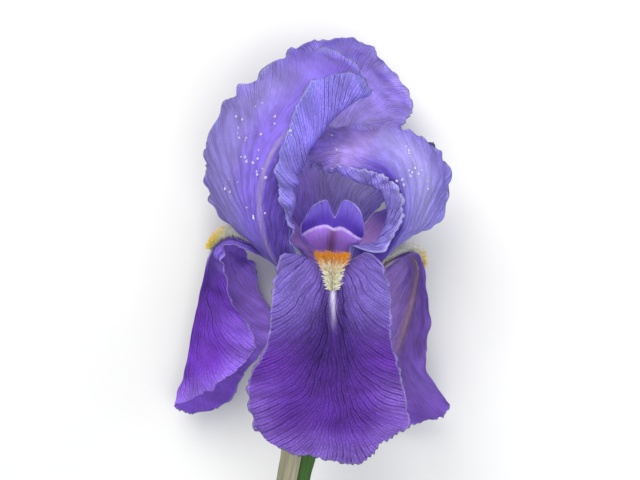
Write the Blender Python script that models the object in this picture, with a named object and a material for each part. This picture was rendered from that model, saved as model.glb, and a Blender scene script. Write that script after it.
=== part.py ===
"""Bearded iris flower, picked with a short stem and lying on its back.

The flower's own frame is in millimetres: X across the flower, Y along the stem towards the top
of the dome, Z towards the side that faces up when the flower lies down.  The flower's zero is
on its axis, 13 mm above the mouth of the perianth tube; `place` moves it to the row's origin,
which is the middle of the flower's box on the floor.
"""
import bpy
import numpy as np

MILLIMETRE = 0.001
CENTRE_X = -6.9           # middle of the flower's box, measured in its own frame
CENTRE_Y = -20.5
FLOOR_Z = -34.3           # lowest point of the flower in its own frame

PETAL_THICKNESS = 0.9
ARM_THICKNESS = 1.0
SPATHE_THICKNESS = 0.6
BEARD_RADIUS = 2.1
BEARD_GAP = 0.45          # clear space between a beard's solid and its fall

# flower axis from the mouth of the tube down to the cut end of the stem
AXIS = [(0, -13.8, 0), (-0.2, -18, 0), (-1.5, -25, 0), (-4.0, -36, 0), (-6.7, -50, 0),
        (-9.3, -63, 0), (-11.9, -76, -0.3), (-14.9, -92, -1.2), (-19.0, -118, -3.5)]


def steady_slopes(keys, table):
    """Slopes that never let the curve swing past its keys: zero wherever it turns back."""
    steps = np.diff(table, axis=0) / np.diff(keys)[:, None]
    before, after = steps[:-1], steps[1:]
    product, total = before * after, before + after
    inner = np.where(product > 0, 2 * product / np.where(product > 0, total, 1), 0)
    return np.concatenate([steps[:1], inner, steps[-1:]])


def smooth_curve(keys, values, x, steady=False):
    """Cubic curve through (keys, values), straight beyond both ends."""
    keys = np.asarray(keys, float)
    values = np.asarray(values, float)
    table = values.reshape(len(keys), -1)
    slope = steady_slopes(keys, table) if steady else np.gradient(table, keys, axis=0)
    x = np.asarray(x, float)
    flat = x.ravel()
    i = np.clip(np.searchsorted(keys, flat) - 1, 0, len(keys) - 2)
    width = (keys[i + 1] - keys[i])[:, None]
    t = (flat[:, None] - keys[i][:, None]) / width
    c = np.clip(t, 0, 1)
    y = (2 * c**3 - 3 * c**2 + 1) * table[i] + (c**3 - 2 * c**2 + c) * width * slope[i]
    y += (3 * c**2 - 2 * c**3) * table[i + 1] + (c**3 - c**2) * width * slope[i + 1]
    y += np.maximum(t - 1, 0) * width * slope[i + 1] + np.minimum(t, 0) * width * slope[i]
    return y.reshape(x.shape + values.shape[1:])


def unit(v):
    return v / np.linalg.norm(v, axis=-1, keepdims=True)


def ease(x):
    x = np.clip(x, 0, 1)
    return x * x * (3 - 2 * x)


def turned(points, degrees):
    """Points turned about the flower's axis; 0 faces up, positive turns towards +X."""
    c, s = np.cos(np.radians(degrees)), np.sin(np.radians(degrees))
    p = np.asarray(points, float)
    return np.stack([p[:, 0] * c + p[:, 2] * s, p[:, 1], p[:, 2] * c - p[:, 0] * s], -1)


class Rib:
    """Smooth midline of a petal: points, tangents and facing directions by distance."""

    def __init__(self, points, facing):
        points = np.asarray(points, float)
        chord = np.r_[0, np.cumsum(np.linalg.norm(np.diff(points, axis=0), axis=1))]
        fine = np.linspace(0, chord[-1], 400)
        self.points = smooth_curve(chord, points, fine)
        steps = np.linalg.norm(np.diff(self.points, axis=0), axis=1)
        self.distance = np.r_[0, np.cumsum(steps)]
        self.length = self.distance[-1]
        self.tangents = unit(np.gradient(self.points, self.distance, axis=0))
        self.keys = np.interp(chord, fine, self.distance)
        self.facing = np.asarray(facing, float)

    def frame(self, a):
        inside = np.clip(a, 0, self.length)
        pick = lambda t: np.stack([np.interp(inside, self.distance, t[:, i]) for i in range(3)], -1)
        tangent = unit(pick(self.tangents))
        point = pick(self.points) + tangent * (a - inside)[..., None]
        face = smooth_curve(self.keys, self.facing, inside)
        normal = unit(face - (face * tangent).sum(-1, keepdims=True) * tangent)
        return point, normal, np.cross(tangent, normal)


def bend_angle(profile, along, across):
    """Angle of the cross-section at a distance from the midline.

    Profile rows: place along the midline (0 to 1), starting tilt in degrees, cupping in degrees
    per centimetre, distance where the margin starts to roll, angle of the roll, width of the
    roll.  Positive angles bend away from the facing side."""
    p = np.asarray(profile, float)
    tilt, cup, fold, roll, width = [smooth_curve(p[:, 0], p[:, j], along, True) for j in range(1, 6)]
    return np.radians(tilt + cup * across / 10 + roll * ease((across - fold) / width))


def bend(petal, rib, a, b, samples=24):
    """Space point of the flat petal point (a along the midline, b across it)."""
    point, normal, side = rib.frame(a)
    along = np.clip(a / rib.length, 0, 1)[..., None] * np.ones(samples)
    across = np.abs(b)[..., None] * (np.arange(samples) + 0.5) / samples
    angle = np.where((b < 0)[..., None], bend_angle(petal["left"], along, across),
                     bend_angle(petal["right"], along, across))
    out = np.cos(angle).mean(-1) * b
    drop = np.sin(angle).mean(-1) * np.abs(b)
    return point + out[..., None] * side - drop[..., None] * normal


def flat_point(petal, u, v):
    """Flat point of a petal: u from base to end edge, v from left edge (-1) to right edge (1).

    The side edges give the half-width at each height, the end edge gives the reach."""
    end = np.asarray(petal["end"], float)
    sides = {-1: np.asarray(petal["left_edge"], float), 1: np.asarray(petal["right_edge"], float)}
    half = np.where(v < 0, -sides[-1][-1, 1], sides[1][-1, 1])
    reach = smooth_curve(end[:, 1], end[:, 0], v * half)
    width = [smooth_curve(e[:, 0] / e[-1, 0], np.abs(e[:, 1]), u) for e in sides.values()]
    return u * reach, v * np.where(v < 0, *width)


def petal_grid(petal, rows, columns):
    """Grid of points over a petal, rows from the base to the margin."""
    rib = Rib(petal["rib"], petal["facing"])
    u, v = np.meshgrid(np.linspace(0, 1, rows + 1), np.linspace(-1, 1, columns + 1), indexing="ij")
    a, b = flat_point(petal, u, v)
    return bend(petal, rib, a, b)


def sheet_solid(grid, thickness):
    """Closed solid of even thickness around a grid of points: (vertices, faces).

    Every cell is split along its shorter diagonal, the same way on both sides."""
    du, dv = np.gradient(grid, axis=0), np.gradient(grid, axis=1)
    normal = unit(np.cross(du, dv)) * thickness / 2
    rows, columns = grid.shape[:2]
    index = np.arange(rows * columns).reshape(rows, columns)
    quads = np.stack([index[:-1, :-1], index[1:, :-1], index[1:, 1:], index[:-1, 1:]], -1).reshape(-1, 4)
    corners = grid.reshape(-1, 3)[quads]
    spans = [np.linalg.norm(corners[:, k] - corners[:, k + 2], axis=1) for k in (0, 1)]
    quads = np.where((spans[0] > spans[1])[:, None], np.roll(quads, -1, axis=1), quads)
    halves = np.concatenate([quads[:, [0, 1, 2]], quads[:, [0, 2, 3]]])
    rim = np.r_[index[0, :-1], index[:-1, -1], index[-1, :0:-1], index[:0:-1, 0]]
    after = np.roll(rim, -1)
    wall = np.stack([rim, after, after + rows * columns, rim + rows * columns], -1)
    vertices = np.concatenate([(grid + normal).reshape(-1, 3), (grid - normal).reshape(-1, 3)])
    faces = halves.tolist() + (halves[:, ::-1] + rows * columns).tolist() + wall.tolist()
    return vertices, faces


def tube_solid(path, radii, sides, reference=(0, 0, 1), lobes=0, lobe_depth=0.0):
    """Closed round solid along a path of points, with a flat cap at each end."""
    path = np.asarray(path, float)
    tangent = unit(np.gradient(path, axis=0))
    across = unit(np.cross(tangent, np.asarray(reference, float)))
    up = np.cross(across, tangent)
    turn = np.arange(sides) * 2 * np.pi / sides
    swell = 1 + lobe_depth * np.cos(lobes * turn)
    ring = across[:, None] * np.cos(turn)[:, None] + up[:, None] * np.sin(turn)[:, None]
    rings = path[:, None] + ring * (np.asarray(radii, float)[:, None, None] * swell[:, None])
    index = np.arange(len(path) * sides).reshape(len(path), sides)
    after = np.roll(index, -1, axis=1)
    walls = np.stack([index[:-1], after[:-1], after[1:], index[1:]], -1).reshape(-1, 4)
    faces = walls.tolist() + [index[0, ::-1].tolist(), index[-1].tolist()]
    return rings.reshape(-1, 3), faces


def place(points):
    """Flower frame in millimetres to the row frame in metres."""
    return (np.asarray(points, float) - (CENTRE_X, CENTRE_Y, FLOOR_Z)) * MILLIMETRE


def signed_volume(vertices, faces):
    total = 0.0
    for face in faces:
        for k in range(1, len(face) - 1):
            p, q, r = vertices[face[0]], vertices[face[k]], vertices[face[k + 1]]
            total += np.dot(p, np.cross(q, r))
    return total / 6


def make_material(name, colour, roughness):
    material = bpy.data.materials.new(name)
    material.use_nodes = True
    shader = material.node_tree.nodes["Principled BSDF"]
    shader.inputs["Base Color"].default_value = (*colour, 1)
    shader.inputs["Roughness"].default_value = roughness
    shader.inputs["Metallic"].default_value = 0.0
    material.diffuse_color = (*colour, 1)
    return material


def add_piece(name, solid, colour, roughness=0.55):
    vertices, faces = solid
    vertices = place(vertices)
    faces = [list(map(int, face)) for face in faces]
    if signed_volume(vertices, faces) < 0:
        faces = [face[::-1] for face in faces]
    mesh = bpy.data.meshes.new(name)
    mesh.from_pydata(vertices.tolist(), [], faces)
    mesh.update()
    mesh.materials.append(make_material("material_" + name, colour, roughness))
    piece = bpy.data.objects.new(name, mesh)
    bpy.context.scene.collection.objects.link(piece)
    return piece


# ---------------------------------------------------------------- the falls and their beards
FALL_BASE = (0, 0, -80, 6, 0, 6)      # curled round the ring where the petal starts

FALL_FRONT = {
    "rib": [(0, -13, 6.5), (0, -8.8, 15.5), (0.3, -4.6, 24), (0.4, -2.9, 31), (0.5, -5.2, 37),
            (0.6, -12, 40.5), (1, -28, 40), (2.5, -48, 37), (4.5, -65, 33)],
    "facing": [(0, 0.8, -0.6), (0, 0.85, -0.5), (0, 0.95, -0.3), (0, 1, 0.1), (0, 0.7, 0.7),
               (0, 0.1, 1), (0, 0, 1), (0, -0.1, 1), (0, -0.1, 1)],
    "left_edge": [(0, -3), (7, -3.5), (13, -8.5), (18, -12), (24, -15), (29, -17), (35, -18),
                  (44, -18.2), (55, -18.2), (65, -20), (76, -21.5), (85, -22)],
    "end": [(85, -22), (87.5, -17), (91, -11), (95.2, -6), (95, 0), (92.3, 8), (89.7, 18), (83, 27)],
    "right_edge": [(0, 3), (7, 3.5), (13, 7.5), (18, 10.5), (24, 14), (29, 17.3), (35, 18.3),
                   (45, 19.5), (57, 22), (65, 27.5), (74, 28.7), (83, 27)],
    "left": [FALL_BASE, (0.17, -36, 0, 6, 0, 8), (0.32, 2, 0, 9, 25, 9), (0.5, 2, 4, 12, 10, 10),
             (1, -4, 3, 14, 0, 10)],
    "right": [FALL_BASE, (0.17, -30, 0, 6, 0, 8), (0.32, -12, 0, 9, 25, 9),
              (0.5, 0, 4, 12, 10, 10), (1, 4, 3, 14, 0, 10)]}

FALL_LEFT = {
    "rib": [(-5.6, -13, -3.2), (-15, -5.4, -7.5), (-27, 4, -12), (-35, 7, -15), (-41, 3.4, -17.5),
            (-44.6, -8, -20), (-49, -27, -22), (-52.4, -44, -22), (-56, -55.5, -21)],
    "facing": [(0.5, 0.8, 0.3), (-0.5, 0.85, -0.2), (-0.3, 0.95, 0), (-0.3, 0.95, 0),
               (-0.8, 0.6, 0), (-0.97, 0.1, 0), (-1, 0, 0), (-1, 0, 0), (-1, 0, 0.1)],
    "left_edge": [(0, -3), (12, -4), (24, -5.2), (36, -7.5), (44, -9.5), (52, -11.5), (60, -14.5),
                  (68, -21), (75, -25.5), (82, -25), (88, -21), (95, -14)],
    "end": [(95, -14), (102, -5), (105, 0), (106.5, 8), (104.5, 16), (98, 21)],
    "right_edge": [(0, 3), (12, 4), (24, 6), (34, 10), (42, 15.5), (50, 18), (58, 21), (65, 26.5),
                   (72, 28.5), (80, 27.5), (88, 23), (98, 21)],
    "left": [FALL_BASE, (0.25, 4, 0, 6, 0, 8), (0.42, 30, 8, 8, 0, 10), (0.56, 42, 8, 12, 0, 10),
             (0.7, 55, 6, 12, 10, 10), (1, 50, 3, 14, 0, 10)],
    "right": [FALL_BASE, (0.25, -6, 0, 6, 0, 8), (0.38, 24, 4, 8, 0, 10), (0.5, 62, 4, 12, 0, 10),
              (0.65, 74, 4, 12, 0, 10), (0.82, 64, 4, 12, 0, 10), (1, 40, 2, 14, 0, 10)]}

FALL_RIGHT = {
    "rib": [(5.6, -13, -3.2), (14, -6, -9), (22.5, -0.6, -14.5), (28, 0.8, -19), (31.4, -4.6, -22.5),
            (30.8, -13, -25), (27, -28, -27), (21, -45, -28), (16, -60, -28)],
    "facing": [(-0.5, 0.8, 0.3), (0.5, 0.85, -0.2), (0.3, 0.95, -0.1), (0.3, 0.95, -0.1),
               (0.8, 0.6, -0.3), (0.87, 0.1, -0.5), (0.87, 0, -0.5), (0.8, 0, -0.6),
               (0.6, 0, -0.8)],
    "left_edge": [(0, -3), (12, -4), (24, -6), (35, -10.5), (46, -16), (60, -20), (74, -22),
                  (86, -18)],
    "end": [(86, -18), (95, -8), (97, 0), (94.5, 12), (87, 23.5)],
    "right_edge": [(0, 3), (12, 4), (24, 5.5), (34, 8), (46, 14.5), (58, 18), (67, 20), (74, 25),
                   (80, 27), (87, 23.5)],
    "left": [FALL_BASE, (0.25, -15, 0, 6, 0, 8), (0.4, 6, 8, 8, 0, 10), (0.7, 38, 2, 12, 10, 10),
             (1, 25, 0, 14, 0, 10)],
    "right": [FALL_BASE, (0.25, -10, 0, 6, 0, 8), (0.4, 14, 12, 8, 10, 10), (0.6, 2, 8, 12, 10, 10),
              (0.72, 2, 6, 14, 0, 10), (0.83, -18, 0, 14, 0, 10), (1, -42, 0, 14, 0, 10)]}


def add_beard(name, petal, start, end):
    """Soft ridge of hairs standing on the midline of a fall between two distances."""
    rib = Rib(petal["rib"], petal["facing"])
    along = np.linspace(start, end, 11)
    point, normal, _ = rib.frame(along)
    swell = np.sin(np.pi * np.linspace(0.06, 0.94, 11)) ** 0.45
    radii = BEARD_RADIUS * swell
    height = PETAL_THICKNESS / 2 + BEARD_GAP + BEARD_RADIUS
    path = point + normal * (height - 0.5 * (BEARD_RADIUS - radii))[:, None]
    add_piece(name, tube_solid(path, radii, 8, reference=(0.31, 0.12, 0.94)), (0.93, 0.62, 0.12), 0.8)


def add_falls():
    purple = (0.20, 0.10, 0.55)
    add_piece("fall_front", sheet_solid(petal_grid(FALL_FRONT, 14, 16), PETAL_THICKNESS), purple)
    add_piece("fall_left", sheet_solid(petal_grid(FALL_LEFT, 14, 20), PETAL_THICKNESS), purple)
    add_piece("fall_right", sheet_solid(petal_grid(FALL_RIGHT, 13, 16), PETAL_THICKNESS), purple)
    add_beard("beard_front", FALL_FRONT, 13, 39)
    add_beard("beard_left", FALL_LEFT, 16.5, 45)
    add_beard("beard_right", FALL_RIGHT, 14, 38)


# ---------------------------------------------------------------- the standards
STANDARD_BASE = (0, 0, 80, 40, 0, 10)

STANDARD_LEFT = {
    "rib": [(-5.6, -13, 3.2), (-18.2, -1.8, 14), (-22, 7.4, 19), (-23, 18.3, 23),
            (-20.7, 29.5, 26), (-15.5, 38, 28), (-6.6, 46.3, 27), (4.6, 52.4, 24), (12.5, 55.5, 20)],
    "facing": [(-0.87, 0, 0.5), (-0.8, 0, 0.6), (-0.6, 0, 0.8), (-0.4, 0, 0.9), (-0.3, 0.1, 0.95),
               (-0.2, 0.2, 0.95), (-0.1, 0.35, 0.9), (0, 0.4, 0.9), (0, 0.4, 0.9)],
    "left_edge": [(0, -3), (9, -3.2), (15, -5), (19, -12), (22.5, -25), (26, -33.5), (32, -39.5),
                  (41, -42), (52, -42), (62, -36.5), (74, -33.5), (88, -35.5)],
    "end": [(88, -35.5), (97, -27.5), (103, -15.5), (99, 0), (92, 17), (82, 23)],
    "right_edge": [(0, 3), (8, 3.5), (14, 7.2), (19, 10.1), (25, 11.8), (33, 14), (46, 19),
                   (57, 21.5), (70, 22), (82, 23)],
    "left": [STANDARD_BASE, (0.13, 5, 0, 40, 0, 10), (0.22, 12, 2, 40, 0, 10),
             (0.45, 25, 5, 40, 0, 10), (0.7, 15, 8, 40, 0, 10), (1, 10, 8, 40, 0, 10)],
    "right": [(0, 0, 80, 6, 0, 8), (0.2, 10, 0, 9, -150, 8), (0.45, 5, 5, 9, -190, 9),
              (0.6, 7, 4, 8, -190, 9), (0.75, 10, 4, 5, -190, 9), (0.9, 10, 0, 1.5, -190, 9),
              (1, 10, 0, 0, -190, 9)]}

STANDARD_RIGHT = {
    "rib": [(5.5, -13.4, 3.1), (21.3, 5.1, 15), (23.4, 10.4, 17), (23.6, 15.9, 19),
            (22.9, 21, 21), (20.9, 25.5, 22.3), (16.6, 29.6, 23), (10.2, 32.3, 22.8),
            (3.1, 34.7, 21), (-4.1, 34.3, 18.5), (-9, 31.1, 16.5)],
    "facing": [(0.87, 0, 0.5), (0.6, 0, 0.8), (0.4, 0, 0.9), (0.3, 0, 0.95), (0.3, 0, 0.95),
               (0.3, 0.1, 0.95), (0.2, 0.3, 0.9), (0.1, 0.4, 0.9), (0.1, 0.5, 0.8),
               (0, 0.5, 0.8), (0, 0.5, 0.8)],
    "left_edge": [(0, -3), (8, -5), (14, -11), (19, -13.5), (24, -12.8), (30, -11.8), (38, -12.5),
                  (50, -14.5), (62, -14), (72, -10.5)],
    "end": [(72, -10.5), (80, -6), (84, 0), (83, 7), (79, 12), (72, 16), (62, 24), (51, 30.5)],
    "right_edge": [(0, 3), (9, 3.2), (17, 5.5), (22, 12), (26, 20.5), (32, 29.3), (41, 33),
                   (51, 30.5)],
    "left": [(0, 0, 80, 30, 0, 10), (0.14, 12, 14, 14, 0, 8), (0.21, 20, 6, 11, -60, 8),
             (0.29, 32, 3, 3, -150, 8), (0.45, 38, 3, 2, -200, 8), (0.7, 30, 4, 5, -200, 8),
             (1, 20, 4, 5, -190, 8)],
    "right": [STANDARD_BASE, (0.13, 22, 2, 40, 0, 8), (0.25, 28, 2, 40, 0, 8),
              (0.45, 32, 3, 40, 0, 9), (0.7, 20, 9, 40, 0, 9), (1, 10, 10, 40, 0, 9)]}

STANDARD_BACK = {
    "rib": [(0, -13, -6.5), (-2, -2, -16), (-3, 14, -26), (-1.5, 32, -32), (2, 49, -32),
            (7.5, 62.5, -27.5), (11.5, 71, -20.5), (15, 76.5, -12.5)],
    "facing": [(0, 0, -1), (0, 0, -1), (0, 0, -1), (0, 0, -1), (0.1, 0.1, -1), (0.2, 0.4, -1),
               (0.3, 0.6, -0.8), (0.3, 0.7, -0.7)],
    "left_edge": [(0, -3), (10, -4), (20, -11), (29, -21), (38, -26.5), (52, -28), (68, -27),
                  (80, -26.5), (91, -28)],
    "end": [(91, -28), (97, -22.5), (99, -16), (101, -8), (103, 0), (102.5, 6), (99.5, 13),
            (96.5, 19), (91, 26)],
    "right_edge": [(0, 3), (10, 4), (20, 11), (30, 21), (40, 27), (56, 32), (72, 31), (91, 26)],
    "left": [STANDARD_BASE, (0.3, 10, 14, 40, 0, 10), (0.6, 10, 14, 40, 0, 10),
             (1, 5, 8, 40, 0, 10)],
    "right": [STANDARD_BASE, (0.3, 10, 14, 40, 0, 10), (0.6, 10, 14, 40, 0, 10),
              (1, 5, 8, 40, 0, 10)]}


def add_standards():
    lavender = (0.36, 0.28, 0.80)
    add_piece("standard_left", sheet_solid(petal_grid(STANDARD_LEFT, 18, 24), PETAL_THICKNESS), lavender)
    add_piece("standard_right", sheet_solid(petal_grid(STANDARD_RIGHT, 16, 24), PETAL_THICKNESS), lavender)
    add_piece("standard_back", sheet_solid(petal_grid(STANDARD_BACK, 13, 16), PETAL_THICKNESS), lavender)


# ---------------------------------------------------------------- style arms and stamens
ARM_RIB = [(0, -8.5, 3.8), (0, -3.5, 9.5), (0.1, 2, 14.5), (0.5, 6.5, 18), (1.2, 11, 19.5),
           (1.5, 16, 18.5), (1.5, 18, 17.5)]
ARM_FACING = [(0, 0.8, -0.6), (0, 0.8, -0.6), (0, 0.8, -0.6), (0, 0.7, -0.7), (0, 0.3, -1),
              (0, -0.1, -1), (0, -0.3, -1)]
ARM_EDGE = [(0, 1.8), (7, 2.8), (13, 6), (18, 10), (21, 10.9), (26, 9.8)]
# one crest, from its edge inwards
ARM_END = [(26, 9.8), (29.5, 8.4), (31.8, 6.4), (33.2, 4.2), (33.4, 2.6), (31, 1.4), (28.6, 0.6)]
ARM_NOTCH = 27.6
ARM_FLAT = [(0, 0, -80, 6, 0, 6), (0.4, -3, -10, 6, 0, 8), (0.6, -3, -12, 6, 0, 8),
            (0.8, 0, 0, 8, 0, 8), (1, 5, 10, 12, 10, 10)]
# the two rear arms stay lower and their sides hang like a roof
REAR_RIB = [(0, -8.5, 3.8), (0, -1, 7), (0, 6.5, 10.5), (0, 12.5, 14.5), (0, 16, 18.5), (0, 18, 22)]
REAR_FACING = [(0, 0.6, -0.8), (0, 0.6, -0.8), (0, 0.7, -0.7), (0, 0.9, -0.5), (0, 1, -0.3),
               (0, 1, -0.2)]
REAR_ROOF = [(0, 0, -80, 6, 0, 6), (0.35, 0, -10, 6, 0, 8), (0.55, 45, 0, 6, 0, 8),
             (0.8, 60, 0, 8, 0, 8), (1, 50, 0, 12, 0, 10)]
# name end, turn about the axis, length and width factors, midline, its facing, side profile
ARMS = [("front", 0, 1.0, 1.0, ARM_RIB, ARM_FACING, ARM_FLAT),
        ("left", -120, 0.95, 0.9, REAR_RIB, REAR_FACING, REAR_ROOF),
        ("right", 112, 1.0, 0.95, REAR_RIB, REAR_FACING, REAR_ROOF)]


def arm_petal(degrees, length, width, midline, facing, profile):
    """One style arm with its two crests, turned into its place."""
    rib = [(x, (y + 8.5) * length - 8.5, 3.8 + (z - 3.8) * length) for x, y, z in midline]
    edge = [(a * length, b * width) for a, b in ARM_EDGE]
    crest = [(a * length, b * width) for a, b in ARM_END]
    end = [(a, -b) for a, b in crest] + [(ARM_NOTCH * length, 0)] + crest[::-1]
    return {"rib": turned(rib, degrees), "facing": turned(facing, degrees), "end": end,
            "left_edge": [(a, -b) for a, b in edge], "right_edge": edge,
            "left": profile, "right": profile}


def add_style_and_stamens():
    for end, degrees, *shape in ARMS:
        grid = petal_grid(arm_petal(degrees, *shape), 9, 16)
        add_piece("style_arm_" + end, sheet_solid(grid, ARM_THICKNESS), (0.30, 0.16, 0.66))
        thread = [(0, -12.9, 4.4), (0, -10.5, 6.2), (0, -8, 8.4), (0, -6.1, 10.2)]
        add_piece("filament_" + end, tube_solid(turned(thread, degrees), [0.6] * 4, 8, (0.3, 0.1, 1)),
                  (0.72, 0.66, 0.80))
        anther = [(0, -5.9, 11), (0.1, -5.4, 11.7), (0.2, -4, 13.2), (0.3, -2.9, 14.8),
                  (0.4, -2.1, 16), (0.5, -1.8, 16.6)]
        add_piece("anther_" + end,
                  tube_solid(turned(anther, degrees), [0.5, 0.85, 1.0, 1.0, 0.8, 0.4], 8, (0.3, 0.1, 1)),
                  (0.86, 0.78, 0.62), 0.8)
    column = [(0, -13.4, 0), (0, -12, 0), (0, -10, 0), (0, -8.6, 0)]
    add_piece("style_column", tube_solid(column, [2.3, 2.3, 2.5, 2.8], 12), (0.45, 0.35, 0.70))


# ---------------------------------------------------------------- tube, ovary, stem and spathes
def axis_points(start, end, count):
    """Points on the flower's axis between two heights."""
    y = np.linspace(start, end, count)
    axis = np.asarray(AXIS, float)[::-1]
    return smooth_curve(axis[:, 1], axis, y)


def add_spathe(name, start, end, middle, spread, radii, colour):
    """Papery bract wrapped round the axis: wide below, narrowing to a point at its tip."""
    rows, columns = 10, 10
    path = axis_points(start, end, rows + 1)
    tangent = unit(np.gradient(path, axis=0))
    right = unit(np.cross(tangent, (0, 0, 1.0)))
    front = np.cross(right, tangent)
    s = np.linspace(0, 1, rows + 1)
    half = np.radians(spread) * (1 - 0.9 * ease((s - 0.35) / 0.65))
    radius = smooth_curve([0, 0.3, 0.7, 1], radii, s)
    angle = np.radians(middle) + half[:, None] * np.linspace(-1, 1, columns + 1)
    grid = path[:, None] + radius[:, None, None] * (right[:, None] * np.sin(angle)[..., None]
                                                    + front[:, None] * np.cos(angle)[..., None])
    add_piece(name, sheet_solid(grid, SPATHE_THICKNESS), colour, 0.7)


def add_stalk():
    add_piece("perianth_tube", tube_solid(axis_points(-14.3, -33.6, 9),
                                          [7.4, 5.6, 4.4, 3.8, 3.5, 3.3, 3.2, 3.2, 3.3], 16),
              (0.30, 0.34, 0.20))
    add_piece("ovary", tube_solid(axis_points(-34, -57, 9),
                                  [3.3, 4.0, 4.5, 4.7, 4.7, 4.6, 4.3, 3.9, 3.6], 18, lobes=3,
                                  lobe_depth=0.04), (0.20, 0.34, 0.10))
    add_piece("stem", tube_solid(axis_points(-57.4, -118, 11), [3.6] * 6 + [3.8] * 5, 16),
              (0.18, 0.34, 0.08))
    add_spathe("spathe_inner", -84, -42, 75, 105, [4.5, 5.0, 5.8, 5.9], (0.30, 0.42, 0.16))
    add_spathe("spathe_outer", -86, -37, -95, 100, [5.6, 6.1, 7.0, 7.7], (0.62, 0.52, 0.34))


for leftover in list(bpy.data.objects):
    bpy.data.objects.remove(leftover, do_unlink=True)
add_falls()
add_standards()
add_style_and_stamens()
add_stalk()
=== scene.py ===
"""Looks of a picked bearded iris that lies on its back on a pale table.

Lengths are millimetres in the flower's own frame: X across the flower, Y along the stem towards
the top of the dome, Z up, away from the table.  `place` moves them into the model's frame.
"""

import bpy
import numpy as np
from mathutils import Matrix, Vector


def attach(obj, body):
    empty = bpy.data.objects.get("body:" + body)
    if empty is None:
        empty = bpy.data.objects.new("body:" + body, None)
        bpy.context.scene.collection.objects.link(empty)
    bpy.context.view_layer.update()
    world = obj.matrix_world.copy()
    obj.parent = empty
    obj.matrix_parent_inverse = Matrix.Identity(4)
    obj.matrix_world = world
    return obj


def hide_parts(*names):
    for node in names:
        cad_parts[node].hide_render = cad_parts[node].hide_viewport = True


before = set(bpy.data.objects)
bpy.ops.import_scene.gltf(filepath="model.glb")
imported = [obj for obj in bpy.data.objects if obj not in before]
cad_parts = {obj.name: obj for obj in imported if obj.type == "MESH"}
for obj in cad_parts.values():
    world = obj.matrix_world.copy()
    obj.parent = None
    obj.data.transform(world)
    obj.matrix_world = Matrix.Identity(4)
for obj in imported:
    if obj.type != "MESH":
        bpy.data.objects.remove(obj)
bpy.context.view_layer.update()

# ---------------------------------------------------------------- table, light and camera
# A pale matt table top, one large soft lamp beyond the top of the flower, a weaker one near the
# viewer, and a camera that looks straight down on the flower.
MILLIMETRE = 0.001
CENTRE = (-6.9, -20.5, -34.3)         # the model's origin, in the flower's own frame
EYE = (-3.4, 5.44, 450)               # the camera, in the flower's own frame
LENS = 74.45
SENSOR = 36.0


def place(points):
    """Flower frame in millimetres to the model's frame in metres: take the centre off, scale."""
    return (np.asarray(points, float) - CENTRE) * MILLIMETRE


def add_lamp(name, spot, aim, size, watts, colour):
    """Square area lamp at a spot, turned to face the aim."""
    lamp = bpy.data.lights.new(name, "AREA")
    lamp.size = size
    lamp.energy = watts
    lamp.color = colour
    holder = bpy.data.objects.new(name, lamp)
    bpy.context.scene.collection.objects.link(holder)
    holder.location = spot
    holder.rotation_euler = (Vector(aim) - Vector(spot)).to_track_quat("-Z", "Y").to_euler()


class Wiring:
    """Short way to fill a node tree: each call adds a node, feeds it and returns one output."""

    def __init__(self, tree):
        self.tree = tree

    def feed(self, socket, value):
        if isinstance(value, bpy.types.NodeSocket):
            self.tree.links.new(value, socket)
        elif value is not None:
            socket.default_value = value

    def node(self, kind, *values, out=0, named=None, **settings):
        made = self.tree.nodes.new(kind)
        for key, value in settings.items():
            setattr(made, key, value)
        for socket, value in zip(made.inputs, values):
            self.feed(socket, value)
        for key, value in (named or {}).items():
            self.feed(made.inputs[key], value)
        return made.outputs[out]

    def math(self, operation, *values):
        return self.node("ShaderNodeMath", *values, operation=operation)

    def times(self, *values):
        return self.math("MULTIPLY", *values)

    def ramp(self, value, low, high, start=0.0, end=1.0):
        """Smooth step of a value: start below low, end above high."""
        return self.node("ShaderNodeMapRange", value, low, high, start, end,
                         interpolation_type="SMOOTHSTEP")

    def mix(self, factor, a, b, blend="MIX"):
        made = self.tree.nodes.new("ShaderNodeMix")
        made.data_type = "RGBA"
        made.blend_type = blend
        for index, value in ((0, factor), (6, a), (7, b)):
            self.feed(made.inputs[index], value)
        return made.outputs[2]

    def noise(self, vector, scale, detail=2.0, roughness=0.5):
        return self.node("ShaderNodeTexNoise", vector, named={"Scale": scale, "Detail": detail,
                                                              "Roughness": roughness})

    def patchy(self, vector, scale, low, high, detail=2.0):
        """Noise as an even spread between a low and a high value."""
        return self.ramp(self.noise(vector, scale, detail), 0.3, 0.7, low, high)

    def coordinates(self):
        """The piece's own coordinates, in metres."""
        return self.node("ShaderNodeTexCoord", out=3)

    def attribute(self, name, out=1):
        return self.node("ShaderNodeAttribute", attribute_name=name, out=out)

    def painted(self, shade):
        """The tint painted on the piece, times a shade."""
        return self.scaled(self.attribute("tint"), shade)

    def scaled(self, colour, shade):
        return self.node("ShaderNodeVectorMath", colour, operation="SCALE", named={"Scale": shade})

    def finish(self, colour, gloss, relief=None, strength=0.0, depth=0.0, glow=None):
        """Ends a material: its gloss, a bump `depth` metres high from the relief, and the share
        of light that comes through as a glow."""
        shader = self.node("ShaderNodeBsdfPrincipled", colour, named=gloss)
        if relief is not None:
            bump = {"Strength": strength, "Distance": depth, "Height": relief}
            self.feed(shader.node.inputs["Normal"], self.node("ShaderNodeBump", named=bump))
        if glow is not None:
            through = self.node("ShaderNodeBsdfTranslucent", colour)
            shader = self.node("ShaderNodeMixShader", glow, shader, through)
        self.feed(self.tree.nodes.new("ShaderNodeOutputMaterial").inputs["Surface"], shader)


def new_material(name):
    """Material with an empty node tree, and the wiring to fill it."""
    material = bpy.data.materials.new(name)
    material.use_nodes = True
    material.node_tree.nodes.clear()
    return material, Wiring(material.node_tree)


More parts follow.
